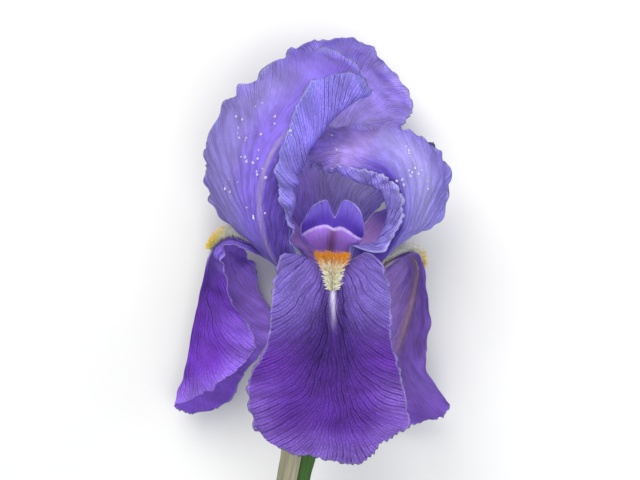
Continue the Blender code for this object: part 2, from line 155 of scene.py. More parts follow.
def add_table():
    """Flat square top, matt, with a faint broad unevenness in its tone."""
    half = 1.6
    mesh = bpy.data.meshes.new("table_top")
    mesh.from_pydata([(-half, -half, 0), (half, -half, 0), (half, half, 0), (-half, half, 0)], [],
                     [(0, 1, 2, 3)])
    table = bpy.data.objects.new("table_top", mesh)
    bpy.context.scene.collection.objects.link(table)
    material, wire = new_material("pale_table")
    tone = wire.patchy(wire.coordinates(), 9.0, 0.0, 1.0, 3.0)
    wire.finish(wire.mix(tone, (0.585, 0.58, 0.55, 1), (0.62, 0.615, 0.585, 1)),
                {"Roughness": 0.85})
    mesh.materials.append(material)


def add_light_and_camera():
    """Pale blue sky, a warm key lamp, a cool fill lamp and the camera over the flower."""
    scene = bpy.context.scene
    world = bpy.data.worlds.new("soft_sky")
    world.use_nodes = True
    sky = world.node_tree.nodes["Background"].inputs
    sky["Color"].default_value = (0.86, 0.9, 1.0, 1)
    sky["Strength"].default_value = 0.75
    scene.world = world
    scene.view_settings.view_transform = "Standard"
    add_lamp("key_lamp", spot=(-0.2, 0.62, 0.72), aim=(0, 0.03, 0.03), size=0.6, watts=9.0,
             colour=(1.0, 0.98, 0.95))
    add_lamp("fill_lamp", spot=(0.28, -0.18, 0.86), aim=(0, 0, 0.03), size=0.8, watts=5.6,
             colour=(0.93, 0.95, 1.0))
    camera = bpy.data.cameras.new("camera")
    camera.lens = LENS
    camera.sensor_width = SENSOR
    camera.clip_start = 0.01
    holder = bpy.data.objects.new("camera", camera)
    holder.location = place(EYE)
    scene.collection.objects.link(holder)
    scene.camera = holder


add_table()
add_light_and_camera()

# ---------------------------------------------------------------- stalk: tube, ovary and stem
# A smooth waxy stalk: green stem, a faintly three-sided ovary swelling above it, and the flared
# perianth tube, green flushed with purple, that carries all six petals.
STALK_SIDES = 72
# midline of the whole stalk, from the petals down to the cut
AXIS = [(0, -13.8, 0), (-0.2, -18, 0), (-1.5, -25, 0), (-4, -36, 0), (-6.7, -50, 0),
        (-9.3, -63, 0), (-11.9, -76, -0.3), (-14.9, -92, -1.2), (-19, -118, -3.5)]


def steady_slopes(keys, table):
    """Slopes that never let the curve swing past its keys: zero wherever it turns back."""
    steps = np.diff(table, axis=0) / np.diff(keys)[:, None]
    before, after = steps[:-1], steps[1:]
    product, total = before * after, before + after
    inner = np.where(product > 0, 2 * product / np.where(product > 0, total, 1), 0)
    return np.concatenate([steps[:1], inner, steps[-1:]])


def smooth_curve(keys, values, x, steady=False):
    """Cubic curve through (keys, values), straight beyond both ends."""
    keys = np.asarray(keys, float)
    values = np.asarray(values, float)
    table = values.reshape(len(keys), -1)
    slope = steady_slopes(keys, table) if steady else np.gradient(table, keys, axis=0)
    x = np.asarray(x, float)
    flat = x.ravel()
    i = np.clip(np.searchsorted(keys, flat) - 1, 0, len(keys) - 2)
    width = (keys[i + 1] - keys[i])[:, None]
    t = (flat[:, None] - keys[i][:, None]) / width
    c = np.clip(t, 0, 1)
    y = (2 * c**3 - 3 * c**2 + 1) * table[i] + (c**3 - 2 * c**2 + c) * width * slope[i]
    y += (3 * c**2 - 2 * c**3) * table[i + 1] + (c**3 - c**2) * width * slope[i + 1]
    y += np.maximum(t - 1, 0) * width * slope[i + 1] + np.minimum(t, 0) * width * slope[i]
    return y.reshape(x.shape + values.shape[1:])


def unit(v):
    """Each vector divided by its length."""
    return v / np.linalg.norm(v, axis=-1, keepdims=True)


def ease(x):
    """Smooth step from 0 to 1: x squared times (3 - 2x), held flat outside."""
    x = np.clip(x, 0, 1)
    return x * x * (3 - 2 * x)


def rise(x, start, length):
    """Smooth step up: 0 at the start, 1 from a length beyond it."""
    return ease((x - start) / length)


def fade(x, start, length):
    """Smooth step down: 1 at the start, 0 from a length beyond it."""
    return 1 - ease((x - start) / length)


def waves(x, y, length, seed, count=7):
    """Seeded uneven ripple between about -1 and 1: a sum of plane waves of near equal length."""
    draw = np.random.default_rng(seed)
    turn = draw.uniform(0, 2 * np.pi, count)
    stretch = draw.uniform(0.7, 1.4, count)
    shift = draw.uniform(0, 2 * np.pi, count)
    total = sum(np.sin(2 * np.pi * (x * np.cos(t) + y * np.sin(t)) / (length * s) + p)
                for t, s, p in zip(turn, stretch, shift))
    return total / np.sqrt(count)


def axis_points(start, end, count):
    """Points on the flower's axis between two heights."""
    y = np.linspace(start, end, count)
    axis = np.asarray(AXIS, float)[::-1]
    return smooth_curve(axis[:, 1], axis, y)


def around(sides):
    """Equal steps of angle around a full turn."""
    return np.arange(sides) * 2 * np.pi / sides


def tube_rings(path, radii, turn, swell, reference=(0, 0, 1)):
    """Rings of points around a path: point + radius (across cos turn + up sin turn) swell."""
    tangent = unit(np.gradient(path, axis=0))
    across = unit(np.cross(tangent, np.asarray(reference, float)))
    up = np.cross(across, tangent)
    ring = across[:, None] * np.cos(turn)[:, None] + up[:, None] * np.sin(turn)[:, None]
    return path[:, None] + ring * (radii[:, None] * swell)[..., None]


def tube_faces(rows, sides):
    """Quads around a stack of rings, with one many-sided cap on each end."""
    index = np.arange(rows * sides).reshape(rows, sides)
    after = np.roll(index, -1, axis=1)
    walls = np.stack([index[:-1], after[:-1], after[1:], index[1:]], -1).reshape(-1, 4)
    return walls.tolist() + [index[0, ::-1].tolist(), index[-1].tolist()]


def signed_volume(points, faces):
    """Six times the enclosed volume, with its sign: sum over fans of p . (q x r)."""
    total = 0.0
    lengths = np.array([len(f) for f in faces])
    for size in np.unique(lengths):
        corners = points[np.array([f for f in faces if len(f) == size])]
        for k in range(1, size - 1):
            total += (corners[:, 0] * np.cross(corners[:, k], corners[:, k + 1])).sum()
    return total


def add_piece(name, points, faces, material, replaced, attributes=None):
    """Mesh piece from millimetre points, its faces turned outwards, tied to the model's frame."""
    points = place(points)
    if signed_volume(points, faces) < 0:
        faces = [face[::-1] for face in faces]
    mesh = bpy.data.meshes.new(name)
    mesh.from_pydata(points.tolist(), [], faces)
    mesh.update()
    mesh.polygons.foreach_set("use_smooth", np.full(len(mesh.polygons), True))
    for key, values in (attributes or {}).items():
        kind = "FLOAT" if values.ndim == 1 else "FLOAT_VECTOR"
        made = mesh.attributes.new(key, kind, "POINT")
        made.data.foreach_set("value" if values.ndim == 1 else "vector",
                              np.ascontiguousarray(values, np.float32).ravel())
    mesh.materials.append(material)
    piece = bpy.data.objects.new(name, mesh)
    bpy.context.scene.collection.objects.link(piece)
    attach(piece, "root")
    if replaced:
        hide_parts(replaced)


def blend_colours(masks_and_colours, base):
    """Layers colours over a base: each mask (0 to 1 per point) lets its own colour through."""
    colour = np.broadcast_to(np.asarray(base, float), masks_and_colours[0][0].shape + (3,)).copy()
    for mask, layer in masks_and_colours:
        m = np.clip(mask, 0, 1)[..., None]
        colour = colour * (1 - m) + np.asarray(layer, float) * m
    return colour


def waxy_green(name, bump):
    """Smooth plant skin: the painted tint, fine mottling, faint length lines, soft wax gloss."""
    material, wire = new_material(name)
    coordinates = wire.coordinates()
    stretched = wire.node("ShaderNodeMapping", coordinates, named={"Scale": (1.0, 0.12, 1.0)})
    lines = wire.noise(stretched, 1400.0)
    shade = wire.math("ADD", wire.ramp(lines, 0.3, 0.7, 0.86, 1.08),
                      wire.patchy(coordinates, 260.0, -0.1, 0.1, 3.0))
    wire.finish(wire.painted(shade),
                {"Roughness": 0.42, "Coat Weight": 0.12, "Coat Roughness": 0.35},
                relief=lines, strength=bump, depth=0.0002)
    return material


def add_tube(name, path, girth, swell, skin, tint, reference=(0, 0, 1)):
    """Closed tube piece: a ring of the given girth at each path point, times its swelling."""
    rows, sides = swell.shape
    points = tube_rings(path, girth, around(sides), swell, reference).reshape(-1, 3)
    add_piece("shaped_" + name, points, tube_faces(rows, sides), skin, name,
              {"tint": tint(points)})


def lobed(rows, sides, lobes, depth):
    """Swelling with soft lobes round the girth: 1 + depth cos(lobes times the angle)."""
    return 1 + depth * np.cos(lobes * around(sides)) * np.ones((rows, 1))


def add_stalk_piece(name, start, end, rows, keys, radii, lobes, depth, tint):
    """Round plant part on the axis, its radius from keys along it."""
    girth = smooth_curve(keys, radii, np.linspace(0, 1, rows), True)
    add_tube(name, axis_points(start, end, rows), girth, lobed(rows, STALK_SIDES, lobes, depth),
             waxy_green(name + "_skin", 0.35), tint)


def patches(x, y, length, seed):
    """Uneven mask, mostly between 0 and 1."""
    return 0.5 + 0.5 * waves(x, y, length, seed)


def tube_tint(p):
    """Green, flushed with purple towards the petals."""
    flush = rise(p[:, 1], -30, 14) * (0.75 + 0.25 * waves(p[:, 0], p[:, 2], 6, 3))
    return blend_colours([(flush, (0.2, 0.1, 0.24))], (0.17, 0.26, 0.07))


def ovary_tint(p):
    """Mid green with long pale patches."""
    pale = patches(p[:, 0], p[:, 1] * 0.3, 8, 5)
    return blend_colours([(pale * 0.5, (0.2, 0.36, 0.09))], (0.11, 0.25, 0.04))


def stem_tint(p):
    """Dark green with long lighter patches, and a pale cut end."""
    pale = patches(p[:, 0], p[:, 1] * 0.2, 7, 6)
    cut = ease((-116.8 - p[:, 1]) / 0.8)
    return blend_colours([(pale * 0.4, (0.05, 0.16, 0.012)), (cut * 0.8, (0.42, 0.52, 0.22))],
                         (0.022, 0.1, 0.004))


add_stalk_piece("perianth_tube", -14, -33.7, 50, keys=[0, 0.03, 0.14, 0.3, 0.5, 0.7, 1],
                radii=[5.6, 7.1, 5.8, 4.4, 3.7, 3.3, 3.3], lobes=6, depth=0.03, tint=tube_tint)
add_stalk_piece("ovary", -33.8, -57.1, 50, keys=[0, 0.06, 0.25, 0.5, 0.75, 1],
                radii=[3.2, 3.6, 4.5, 4.7, 4.4, 3.6], lobes=3, depth=0.05, tint=ovary_tint)
add_stalk_piece("stem", -57.2, -118, 90, keys=[0, 0.03, 0.5, 0.98, 1],
                radii=[3.4, 3.6, 3.6, 3.8, 3.5], lobes=4, depth=0.012, tint=stem_tint)

# ---------------------------------------------------------------- spathes
# Two thin bracts wrap the foot of the flower.  The inner one is still green, the outer one has
# dried to pale straw paper with long veins and a torn, pointed tip.
SPATHE_THICKNESS = 0.35
SPATHE_CRUMPLE = 0.12


def sheet_normal(grid):
    """Unit normals of a grid of points: step across the sheet crossed with step along it."""
    return unit(np.cross(np.gradient(grid, axis=1), np.gradient(grid, axis=0)))


def sheet_sides(grid, thickness):
    """Closed sheet round a grid of points: both faces lie half the thickness away from the grid
    and meet in one shared line all round the rim.  Returns points, quads, which grid point each
    point came from, and its side (1 on the face that `cross(dv, du)` looks out of, 0 on the
    other, half on the rim)."""
    rows, columns = grid.shape[:2]
    offset = sheet_normal(grid) * (np.broadcast_to(thickness, (rows, columns)) / 2)[..., None]
    index = np.arange(rows * columns).reshape(rows, columns)
    inner = np.zeros((rows, columns), bool)
    inner[1:-1, 1:-1] = True
    back = index.copy()
    back[inner] = rows * columns + np.arange(inner.sum())
    offset[~inner] = 0
    points = np.concatenate([(grid + offset).reshape(-1, 3), (grid - offset)[inner]])
    source = np.concatenate([index.ravel(), index[inner]])
    side = np.concatenate([np.where(inner, 1.0, 0.5).ravel(), np.zeros(inner.sum())])
    quads = [np.stack([k[:-1, :-1], k[:-1, 1:], k[1:, 1:], k[1:, :-1]], -1).reshape(-1, 4)
             for k in (index, back)]
    return points, quads[0].tolist() + quads[1][:, ::-1].tolist(), source, side


def dry_bract(name):
    """Papery bract: the painted tint streaked along its veins, matt, letting some light through."""
    material, wire = new_material(name)
    along = wire.attribute("streak")
    fine = wire.noise(along, 1.0, 3.0)
    shade = wire.times(wire.ramp(fine, 0.35, 0.65, 0.72, 1.08),
                      wire.patchy(along, 0.22, 0.8, 1.1))
    wire.finish(wire.painted(shade), {"Roughness": 0.7}, relief=fine, strength=0.5, depth=0.0003,
                glow=0.25)
    return material


def add_spathe(name, start, end, middle, spread, radii, low, high):
    """Bract wrapped round the axis: an arc of the given spread that narrows to a point.

    Its tint goes from low at the foot to high at the tip and along the margins."""
    rows, columns = 90, 90
    s = np.linspace(0, 1, rows)
    path = axis_points(start, end, rows)
    tangent = unit(np.gradient(path, axis=0))
    right = unit(np.cross(tangent, (0, 0, 1.0)))
    front = np.cross(right, tangent)
    half = np.radians(spread) * (1 - 0.9 * rise(s, 0.35, 0.65))
    across = np.linspace(-1, 1, columns)
    angle = np.radians(middle) + half[:, None] * across
    radius = smooth_curve([0, 0.3, 0.7, 1], radii, s)[:, None] * np.ones(columns)
    crumple = SPATHE_CRUMPLE * waves(angle * 5, s[:, None] * 18, 4, 11)
    radius = radius + crumple * ease(s * 4)[:, None]
    grid = path[:, None] + radius[..., None] * (right[:, None] * np.sin(angle)[..., None]
                                                + front[:, None] * np.cos(angle)[..., None])
    points, faces, source, _ = sheet_sides(grid, SPATHE_THICKNESS)
    edge = np.abs(across)[None, :] ** 3 * np.ones((rows, 1))
    dry = np.clip(ease(s[:, None] * 1.3 - 0.2) * 0.7 + edge * 0.5, 0, 1).ravel()[source]
    streak = np.stack([angle * 9, s[:, None] * 3 + 0 * angle, 0 * angle], -1).reshape(-1, 3)[source]
    add_piece("shaped_" + name, points, faces, dry_bract(name + "_skin"), name,
              {"tint": blend_colours([(dry, high)], low), "streak": streak})


add_spathe("spathe_inner", -84, -42, middle=75, spread=105, radii=[4.6, 5.1, 5.8, 5.9],
           low=(0.035, 0.13, 0.008), high=(0.1, 0.2, 0.03))
add_spathe("spathe_outer", -86, -37, middle=-95, spread=100, radii=[5.7, 6.2, 7.0, 7.6],
           low=(0.34, 0.32, 0.2), high=(0.5, 0.44, 0.3))

# ---------------------------------------------------------------- the falls
# Three velvety outer petals.  Each rises from the tube on a narrow haft, arches over and hangs
# down as a broad blade with dark forking veins, a pale line down its middle and a light rim.
#
# A petal's table holds its midline and the way it faces, its flat outline as distances along and
# across, a cross-section profile for each side (see bend_angle), its vein fan (see vein_lines),
# the height, length and depth of its rim's ripples, the height and number of its pleats, and a
# seed for what is uneven.
FALL_BASE = (0, 0, -80, 6, 0, 6)      # curled round the ring where the petal starts

FALL_FRONT = {
    "rib": [(0, -13, 6.5), (0, -8.8, 15.5), (0.3, -4.6, 24), (0.4, -2.9, 31), (0.5, -5.2, 37),
            (0.6, -12, 40.5), (1, -28, 40), (2.5, -48, 37), (4.5, -65, 33)],
    "facing": [(0, 0.8, -0.6), (0, 0.85, -0.5), (0, 0.95, -0.3), (0, 1, 0.1), (0, 0.7, 0.7),
               (0, 0.1, 1), (0, 0, 1), (0, -0.1, 1), (0, -0.1, 1)],
    "left_edge": [(0, -3), (7, -3.5), (13, -8.5), (18, -12), (24, -15), (29, -17), (35, -18),
                  (44, -18.2), (55, -18.2), (65, -20), (76, -21.5), (85, -22)],
    "end": [(85, -22), (87.5, -17), (91, -11), (95.2, -6), (95, 0), (92.3, 8), (89.7, 18),
            (83, 27)],
    "right_edge": [(0, 3), (7, 3.5), (13, 7.5), (18, 10.5), (24, 14), (29, 17.3), (35, 18.3),
                   (45, 19.5), (57, 22), (65, 27.5), (74, 28.7), (83, 27)],
    "left": [FALL_BASE, (0.17, -36, 0, 6, 0, 8), (0.32, 2, 0, 9, 25, 9), (0.5, 2, 4, 12, 10, 10),
             (1, -4, 3, 14, 0, 10)],
    "right": [FALL_BASE, (0.17, -30, 0, 6, 0, 8), (0.32, -12, 0, 9, 25, 9),
              (0.5, 0, 4, 12, 10, 10), (1, 4, 3, 14, 0, 10)],
    "fan": (20, 3, 18, 4, 2.2, 1.9), "ripple": (0.6, 7, 5), "pleat": (0.12, 26), "seed": 21}

FALL_LEFT = {
    "rib": [(-5.6, -13, -3.2), (-15, -5.4, -7.5), (-27, 4, -12), (-35, 7, -15), (-41, 3.4, -17.5),
            (-44.6, -8, -20), (-49, -27, -22), (-52.4, -44, -22), (-56, -55.5, -21)],
    "facing": [(0.5, 0.8, 0.3), (-0.5, 0.85, -0.2), (-0.3, 0.95, 0), (-0.3, 0.95, 0),
               (-0.8, 0.6, 0), (-0.97, 0.1, 0), (-1, 0, 0), (-1, 0, 0), (-1, 0, 0.1)],
    "left_edge": [(0, -3), (12, -4), (24, -5.2), (36, -7.5), (44, -9.5), (52, -11.5), (60, -14.5),
                  (68, -21), (75, -25.5), (82, -25), (88, -21), (95, -14)],
    "end": [(95, -14), (102, -5), (105, 0), (106.5, 8), (104.5, 16), (98, 21)],
    "right_edge": [(0, 3), (12, 4), (24, 6), (34, 10), (42, 15.5), (50, 18), (58, 21), (65, 26.5),
                   (72, 28.5), (80, 27.5), (88, 23), (98, 21)],
    "left": [FALL_BASE, (0.25, 4, 0, 6, 0, 8), (0.42, 30, 8, 8, 0, 10), (0.56, 42, 8, 12, 0, 10),
             (0.7, 55, 6, 12, 10, 10), (1, 50, 3, 14, 0, 10)],
    "right": [FALL_BASE, (0.25, -6, 0, 6, 0, 8), (0.38, 24, 4, 8, 0, 10), (0.5, 62, 4, 12, 0, 10),
              (0.65, 74, 4, 12, 0, 10), (0.82, 64, 4, 12, 0, 10), (1, 40, 2, 14, 0, 10)],
    "fan": (24, 3, 20, 5, 2.2, 1.9), "ripple": (0.9, 8, 7), "pleat": (0.14, 26), "seed": 22}

FALL_RIGHT = {
    "rib": [(5.6, -13, -3.2), (14, -6, -9), (22.5, -0.6, -14.5), (28, 0.8, -19),
            (31.4, -4.6, -22.5), (30.8, -13, -25), (27, -28, -27), (21, -45, -28), (16, -60, -28)],
    "facing": [(-0.5, 0.8, 0.3), (0.5, 0.85, -0.2), (0.3, 0.95, -0.1), (0.3, 0.95, -0.1),
               (0.8, 0.6, -0.3), (0.87, 0.1, -0.5), (0.87, 0, -0.5), (0.8, 0, -0.6),
               (0.6, 0, -0.8)],
    "left_edge": [(0, -3), (12, -4), (24, -6), (35, -10.5), (46, -16), (60, -20), (74, -22),
                  (86, -18)],
    "end": [(86, -18), (95, -8), (97, 0), (94.5, 12), (87, 23.5)],
    "right_edge": [(0, 3), (12, 4), (24, 5.5), (34, 8), (46, 14.5), (58, 18), (67, 20), (74, 25),
                   (80, 27), (87, 23.5)],
    "left": [FALL_BASE, (0.25, -15, 0, 6, 0, 8), (0.4, 6, 8, 8, 0, 10), (0.7, 38, 2, 12, 10, 10),
             (1, 25, 0, 14, 0, 10)],
    "right": [FALL_BASE, (0.25, -10, 0, 6, 0, 8), (0.4, 14, 12, 8, 10, 10), (0.6, 2, 8, 12, 10, 10),
              (0.72, 2, 6, 14, 0, 10), (0.83, -18, 0, 14, 0, 10), (1, -42, 0, 14, 0, 10)],
    "fan": (22, 3, 20, 6, 2.2, 1.9), "ripple": (0.6, 8, 6), "pleat": (0.1, 26), "seed": 23}


def travelled(points):
    """Distance covered along a row of points, up to each of them."""
    return np.r_[0, np.cumsum(np.linalg.norm(np.diff(points, axis=0), axis=1))]


class Rib:
    """Smooth midline of a petal: points, tangents and facing directions by distance."""

    def __init__(self, petal):
        points = np.asarray(petal["rib"], float)
        chord = travelled(points)
        fine = np.linspace(0, chord[-1], 400)
        self.points = smooth_curve(chord, points, fine)
        self.distance = travelled(self.points)
        self.length = self.distance[-1]
        self.tangents = unit(np.gradient(self.points, self.distance, axis=0))
        self.keys = np.interp(chord, fine, self.distance)
        self.facing = np.asarray(petal["facing"], float)

    def frame(self, a):
        """Point, facing direction and side direction of the midline at a distance from its base."""
        inside = np.clip(a, 0, self.length)
        pick = lambda t: np.stack([np.interp(inside, self.distance, t[:, i]) for i in range(3)], -1)
        tangent = unit(pick(self.tangents))
        point = pick(self.points) + tangent * (a - inside)[..., None]
        face = smooth_curve(self.keys, self.facing, inside)
        normal = unit(face - (face * tangent).sum(-1, keepdims=True) * tangent)
        return point, normal, np.cross(tangent, normal)


def bend_angle(profile, along, across):
    """Angle of the cross-section at a distance from the midline.

    Profile rows: place along the midline (0 to 1), starting tilt in degrees, cupping in degrees
    per centimetre, distance where the margin starts to roll, angle of the roll, width of the
    roll.  Positive angles bend away from the facing side."""
    keys, *columns = np.asarray(profile, float).T
    tilt, cup, fold, roll, width = [smooth_curve(keys, c, along, True) for c in columns]
    return np.radians(tilt + cup * across / 10 + roll * ease((across - fold) / width))


def bend(petal, rib, a, b, samples=24):
    """Space point of the flat petal point (a along the midline, b across it)."""
    point, normal, side = rib.frame(a)
    along = np.clip(a / rib.length, 0, 1)[..., None] * np.ones(samples)
    across = np.abs(b)[..., None] * (np.arange(samples) + 0.5) / samples
    angle = np.where((b < 0)[..., None], bend_angle(petal["left"], along, across),
                     bend_angle(petal["right"], along, across))
    out = np.cos(angle).mean(-1) * b
    drop = np.sin(angle).mean(-1) * np.abs(b)
    return point + out[..., None] * side - drop[..., None] * normal


def flat_point(petal, u, v):
    """Flat point of a petal: u from base to end edge, v from left edge (-1) to right edge (1).

    The side edges give the half-width at each height, the end edge gives the reach.  Also gives
    the distance to the nearest edge."""
    end = np.asarray(petal["end"], float)
    sides = {-1: np.asarray(petal["left_edge"], float), 1: np.asarray(petal["right_edge"], float)}
    half = np.where(v < 0, -sides[-1][-1, 1], sides[1][-1, 1])
    reach = smooth_curve(end[:, 1], end[:, 0], v * half)
    width = [smooth_curve(e[:, 0] / e[-1, 0], np.abs(e[:, 1]), u) for e in sides.values()]
    width = np.where(v < 0, *width)
    return u * reach, v * width, np.minimum((1 - u) * reach, (1 - np.abs(v)) * width)


def vein_lines(fan, a, b, seed):
    """Vein number and fork level of flat petal points.

    Veins follow constant asinh(b / curl) / width, where the width grows exponentially along the
    petal, so they bend out towards the sides.  The level says how often they have forked to keep
    an even spacing: log2 of their unforked spacing over the wanted one."""
    start, width, growth, curl, count, spacing = fan
    away = ease((a - start * 0.6) / 20)
    b = b + away * (0.55 * waves(a, b, 13, seed) + 0.14 * waves(a, b, 4, seed + 1))
    grown = (a - start) / growth
    spread = width * np.exp(np.logaddexp(0, grown))
    line = curl * np.arcsinh(b / curl) / spread
    across = 1 / np.sqrt(1 + (b / curl) ** 2) / spread
    along = line / growth / (1 + np.exp(-grown))
    gap = 1 / (count * np.hypot(across, along))
    just_forked = 0.02                # keeps the level clear of a whole number
    return count * line, np.maximum(np.log2(gap / spacing), 0) + just_forked


PETAL_THICKNESS = 0.34
PETAL_ROWS, PETAL_COLUMNS = 160, 140
FRINGE = 0.28                         # how far the rim's ragged edge swings in and out
FRINGE_DEPTH = 1.2                    # how far in from the rim it is still felt
FRINGE_FINE, FRINGE_COARSE = 1.8, 4.5
HAFT_END, BLADE_START = 18, 32        # ripples and pleats grow between these distances
RIM_WIDTH = 2.5                       # the sheet thins out over the last bit before its rim


def flat_grid(petal, start, rows, columns):
    """Midline and flat grid of a petal: u, v, distances along and across, edge distance."""
    u, v = np.meshgrid(np.linspace(start, 1, rows), np.linspace(-1, 1, columns), indexing="ij")
    return Rib(petal), u, v, *flat_point(petal, u, v)


def petal_sheet(petal):
    """Fine petal: the bent sheet with pleats along its veins and a rippled, fringed rim.

    Returns its points, faces and, for each point, a, b, edge distance, side and vein values."""
    rib, u, v, a, b, edge = flat_grid(petal, -0.012, PETAL_ROWS, PETAL_COLUMNS)
    seed = petal["seed"]
    grown = rise(a, HAFT_END, BLADE_START - HAFT_END)
    rough = np.exp(-edge / FRINGE_DEPTH) * grown * FRINGE
    push = rough * (waves(a, b, FRINGE_FINE, seed + 2) + waves(a, b, FRINGE_COARSE, seed + 3))
    near_end = np.exp(-(1 - u) * a / 2)
    near_side = np.exp(-(1 - np.abs(v)) * np.abs(b) / 2)
    outward = unit(np.stack([near_end + 0.01, np.sign(v) * near_side], -1))
    a = a + push * outward[..., 0]
    b = b + push * outward[..., 1]
    veins, level = vein_lines(petal["fan"], a, b, seed)
    ripple, length, depth = petal["ripple"]
    height = np.exp(-edge / depth) * grown * ripple * waves(a, b, length, seed + 4)
    pleat, pleats = petal["pleat"]
    line = veins / petal["fan"][4]
    height = height + pleat * grown * np.sin(line * pleats + waves(a, b, 25, seed + 5))
    grid = bend(petal, rib, a, b)
    grid = grid + sheet_normal(grid) * height[..., None]
    thickness = PETAL_THICKNESS * (0.35 + 0.65 * rise(edge, 0, RIM_WIDTH))
    points, faces, source, side = sheet_sides(grid, thickness)
    pick = lambda table: table.ravel()[source]
    return points, faces, pick(a), pick(b), pick(edge), side, pick(veins), pick(level)


VEIN_INPUTS = ("Number", "Level", "Spacing", "Width")


def build_vein_group():
    """Node group: forking veins from a vein number and a fork level, both read off the petal.

    Old veins sit on whole numbers.  Between two levels each sends out one branch that drifts to
    the middle of the gap, where it becomes an old vein of the next level."""
    group = bpy.data.node_groups.new("forking_veins", "ShaderNodeTree")
    for key in VEIN_INPUTS:
        group.interface.new_socket(key, in_out="INPUT", socket_type="NodeSocketFloat")
    group.interface.new_socket("Mask", in_out="OUTPUT", socket_type="NodeSocketFloat")
    entry = group.nodes.new("NodeGroupInput")
    number, level, spacing, width = [entry.outputs[key] for key in VEIN_INPUTS]
    wire = Wiring(group)
    whole = wire.math("FLOOR", level)
    part = wire.math("SUBTRACT", level, whole)
    scaled = wire.times(number, wire.math("POWER", 2.0, whole))
    gap = wire.times(spacing, wire.math("POWER", 2.0, part))
    inside = wire.math("FRACT", scaled)
    nearest = wire.math("MINIMUM", inside, wire.math("SUBTRACT", 1.0, inside))
    old = wire.times(nearest, gap)
    centre = wire.times(wire.ramp(part, 0.0, 0.9), 0.5)
    aside = wire.math("ABSOLUTE", wire.math("SUBTRACT", inside, centre))
    branch = wire.times(aside, gap)
    slim = wire.times(width, wire.ramp(part, 0.0, 1.0, 0.5, 1.0))
    old_mask = wire.ramp(wire.math("DIVIDE", old, width), 0.35, 1.3, 1.0, 0.0)
    branch_mask = wire.ramp(wire.math("DIVIDE", branch, slim), 0.35, 1.3, 1.0, 0.0)
    strength = wire.ramp(part, 0.0, 1.0, 0.55, 1.0)
    mask = wire.math("MAXIMUM", old_mask, wire.times(branch_mask, strength))
    leave = group.nodes.new("NodeGroupOutput")
    group.links.new(mask, leave.inputs["Mask"])
    return group


VEIN_GROUP = build_vein_group()


def add_veins(wire, *values):
    """Places the vein group and feeds it number, level, spacing and width; gives its mask."""
    lines = wire.tree.nodes.new("ShaderNodeGroup")
    lines.node_tree = VEIN_GROUP
    for key, value in zip(VEIN_INPUTS, values):
        wire.feed(lines.inputs[key], value)
    return lines.outputs["Mask"]


def petal_tissue(name, spacing, width, darker, backlit_rim_colour, glow, crinkle):
    """Living petal: painted tint, bold and fine forking veins with a faint net between them,
    streaks along the veins (tone and painted sheen), crinkled skin, a pale thin rim of painted
    backlight, and light coming through."""
    material, wire = new_material(name)
    flat = wire.attribute("flat")
    number, level, strength = wire.node("ShaderNodeSeparateXYZ",
                                        wire.attribute("veins")).node.outputs
    along = wire.node("ShaderNodeSeparateXYZ", flat, out=1)
    # bold veins that differ in strength and fade in places, fine ones and a net between them
    bold = add_veins(wire, number, level, spacing, width)
    fine = add_veins(wire, number, wire.math("ADD", level, 1.0), spacing / 2, width * 0.55)
    per_vein = wire.node("ShaderNodeCombineXYZ", wire.times(number, 5.0), wire.times(along, 0.05))
    uneven = wire.ramp(wire.noise(per_vein, 1.0, 2.0), 0.35, 0.65, 0.35, 1.0)
    broken = wire.ramp(wire.noise(flat, 0.35, 2.0), 0.3, 0.6, 0.55, 1.0)
    net = wire.node("ShaderNodeTexVoronoi", flat, feature="DISTANCE_TO_EDGE",
                    named={"Scale": 0.85, "Randomness": 1.0})
    net = wire.ramp(net, 0.01, 0.09, 0.3, 0.0)
    mask = wire.times(bold, wire.times(uneven, broken))
    mask = wire.math("MAXIMUM", mask, wire.times(fine, 0.45))
    mask = wire.times(wire.math("MAXIMUM", mask, net), strength)
    # streaks that run with the veins, partly tone and partly painted sheen, small cells and broad
    # clouds of tone
    streak = wire.noise(wire.node("ShaderNodeCombineXYZ", wire.times(number, 3.0),
                                  wire.times(along, 0.09)), 2.0, 3.0, 0.6)
    cells = wire.noise(flat, 2.6, 2.0, 0.6)
    shade = wire.times(wire.ramp(streak, 0.3, 0.7, 0.86, 1.16),
                       wire.patchy(flat, 0.12, 0.92, 1.08, 3.0))
    shade = wire.times(shade, wire.ramp(cells, 0.25, 0.75, 1 - crinkle, 1 + crinkle))
    base = wire.scaled(wire.attribute("tint", 0), shade)
    veined = wire.mix(mask, base, wire.mix(1.0, base, darker, "MULTIPLY"))
    # painted light: a pale bluish rim over the last millimetre, as if the thin edge were lit from
    # behind
    rim = wire.times(wire.ramp(wire.attribute("edge", 2), 0.15, 0.9, 1.0, 0.0), 0.6)
    # veins lie in grooves, cells and streaks stand up
    relief = wire.math("SUBTRACT", wire.times(cells, 0.6), mask)
    relief = wire.math("ADD", relief, wire.times(streak, 1.2))
    wire.finish(wire.mix(rim, veined, backlit_rim_colour), {"Roughness": 0.55, "Specular IOR Level": 0.3},
                relief, strength=0.8, depth=0.0005, glow=glow)
    return material


def spot(a, b, place_a, place_b, reach_a, reach_b):
    """Soft round mask: exp of minus the squared distance in units of the reach."""
    return np.exp(-((a - place_a) / reach_a) ** 2 - ((b - place_b) / reach_b) ** 2)


def near(x, place, reach):
    """Soft band round a place: exp of minus the squared distance in units of the reach."""
    return np.exp(-((x - place) / reach) ** 2)


def marks(tint, veins, edge, a, b, side):
    """What the petal tissue reads: the two faces lie well apart in the flat pattern."""
    return {"tint": tint, "veins": veins, "edge": edge, "flat": np.stack([b, a, side * 40], -1)}


def add_petal(name, petal, material, paint):
    """Petal piece with its painted tint and vein values; `paint` gives tint and vein strength.

    Hands back the sheet's points and sides, for whatever sits on the petal."""
    points, faces, a, b, edge, side, veins, level = petal_sheet(petal)
    tint, strength = paint(a, b, edge, side)
    veins = np.stack([veins, level, strength], -1)
    add_piece("petal_" + name, points, faces, material, name,
              marks(tint, veins, edge, a, b, side))
    return points, side


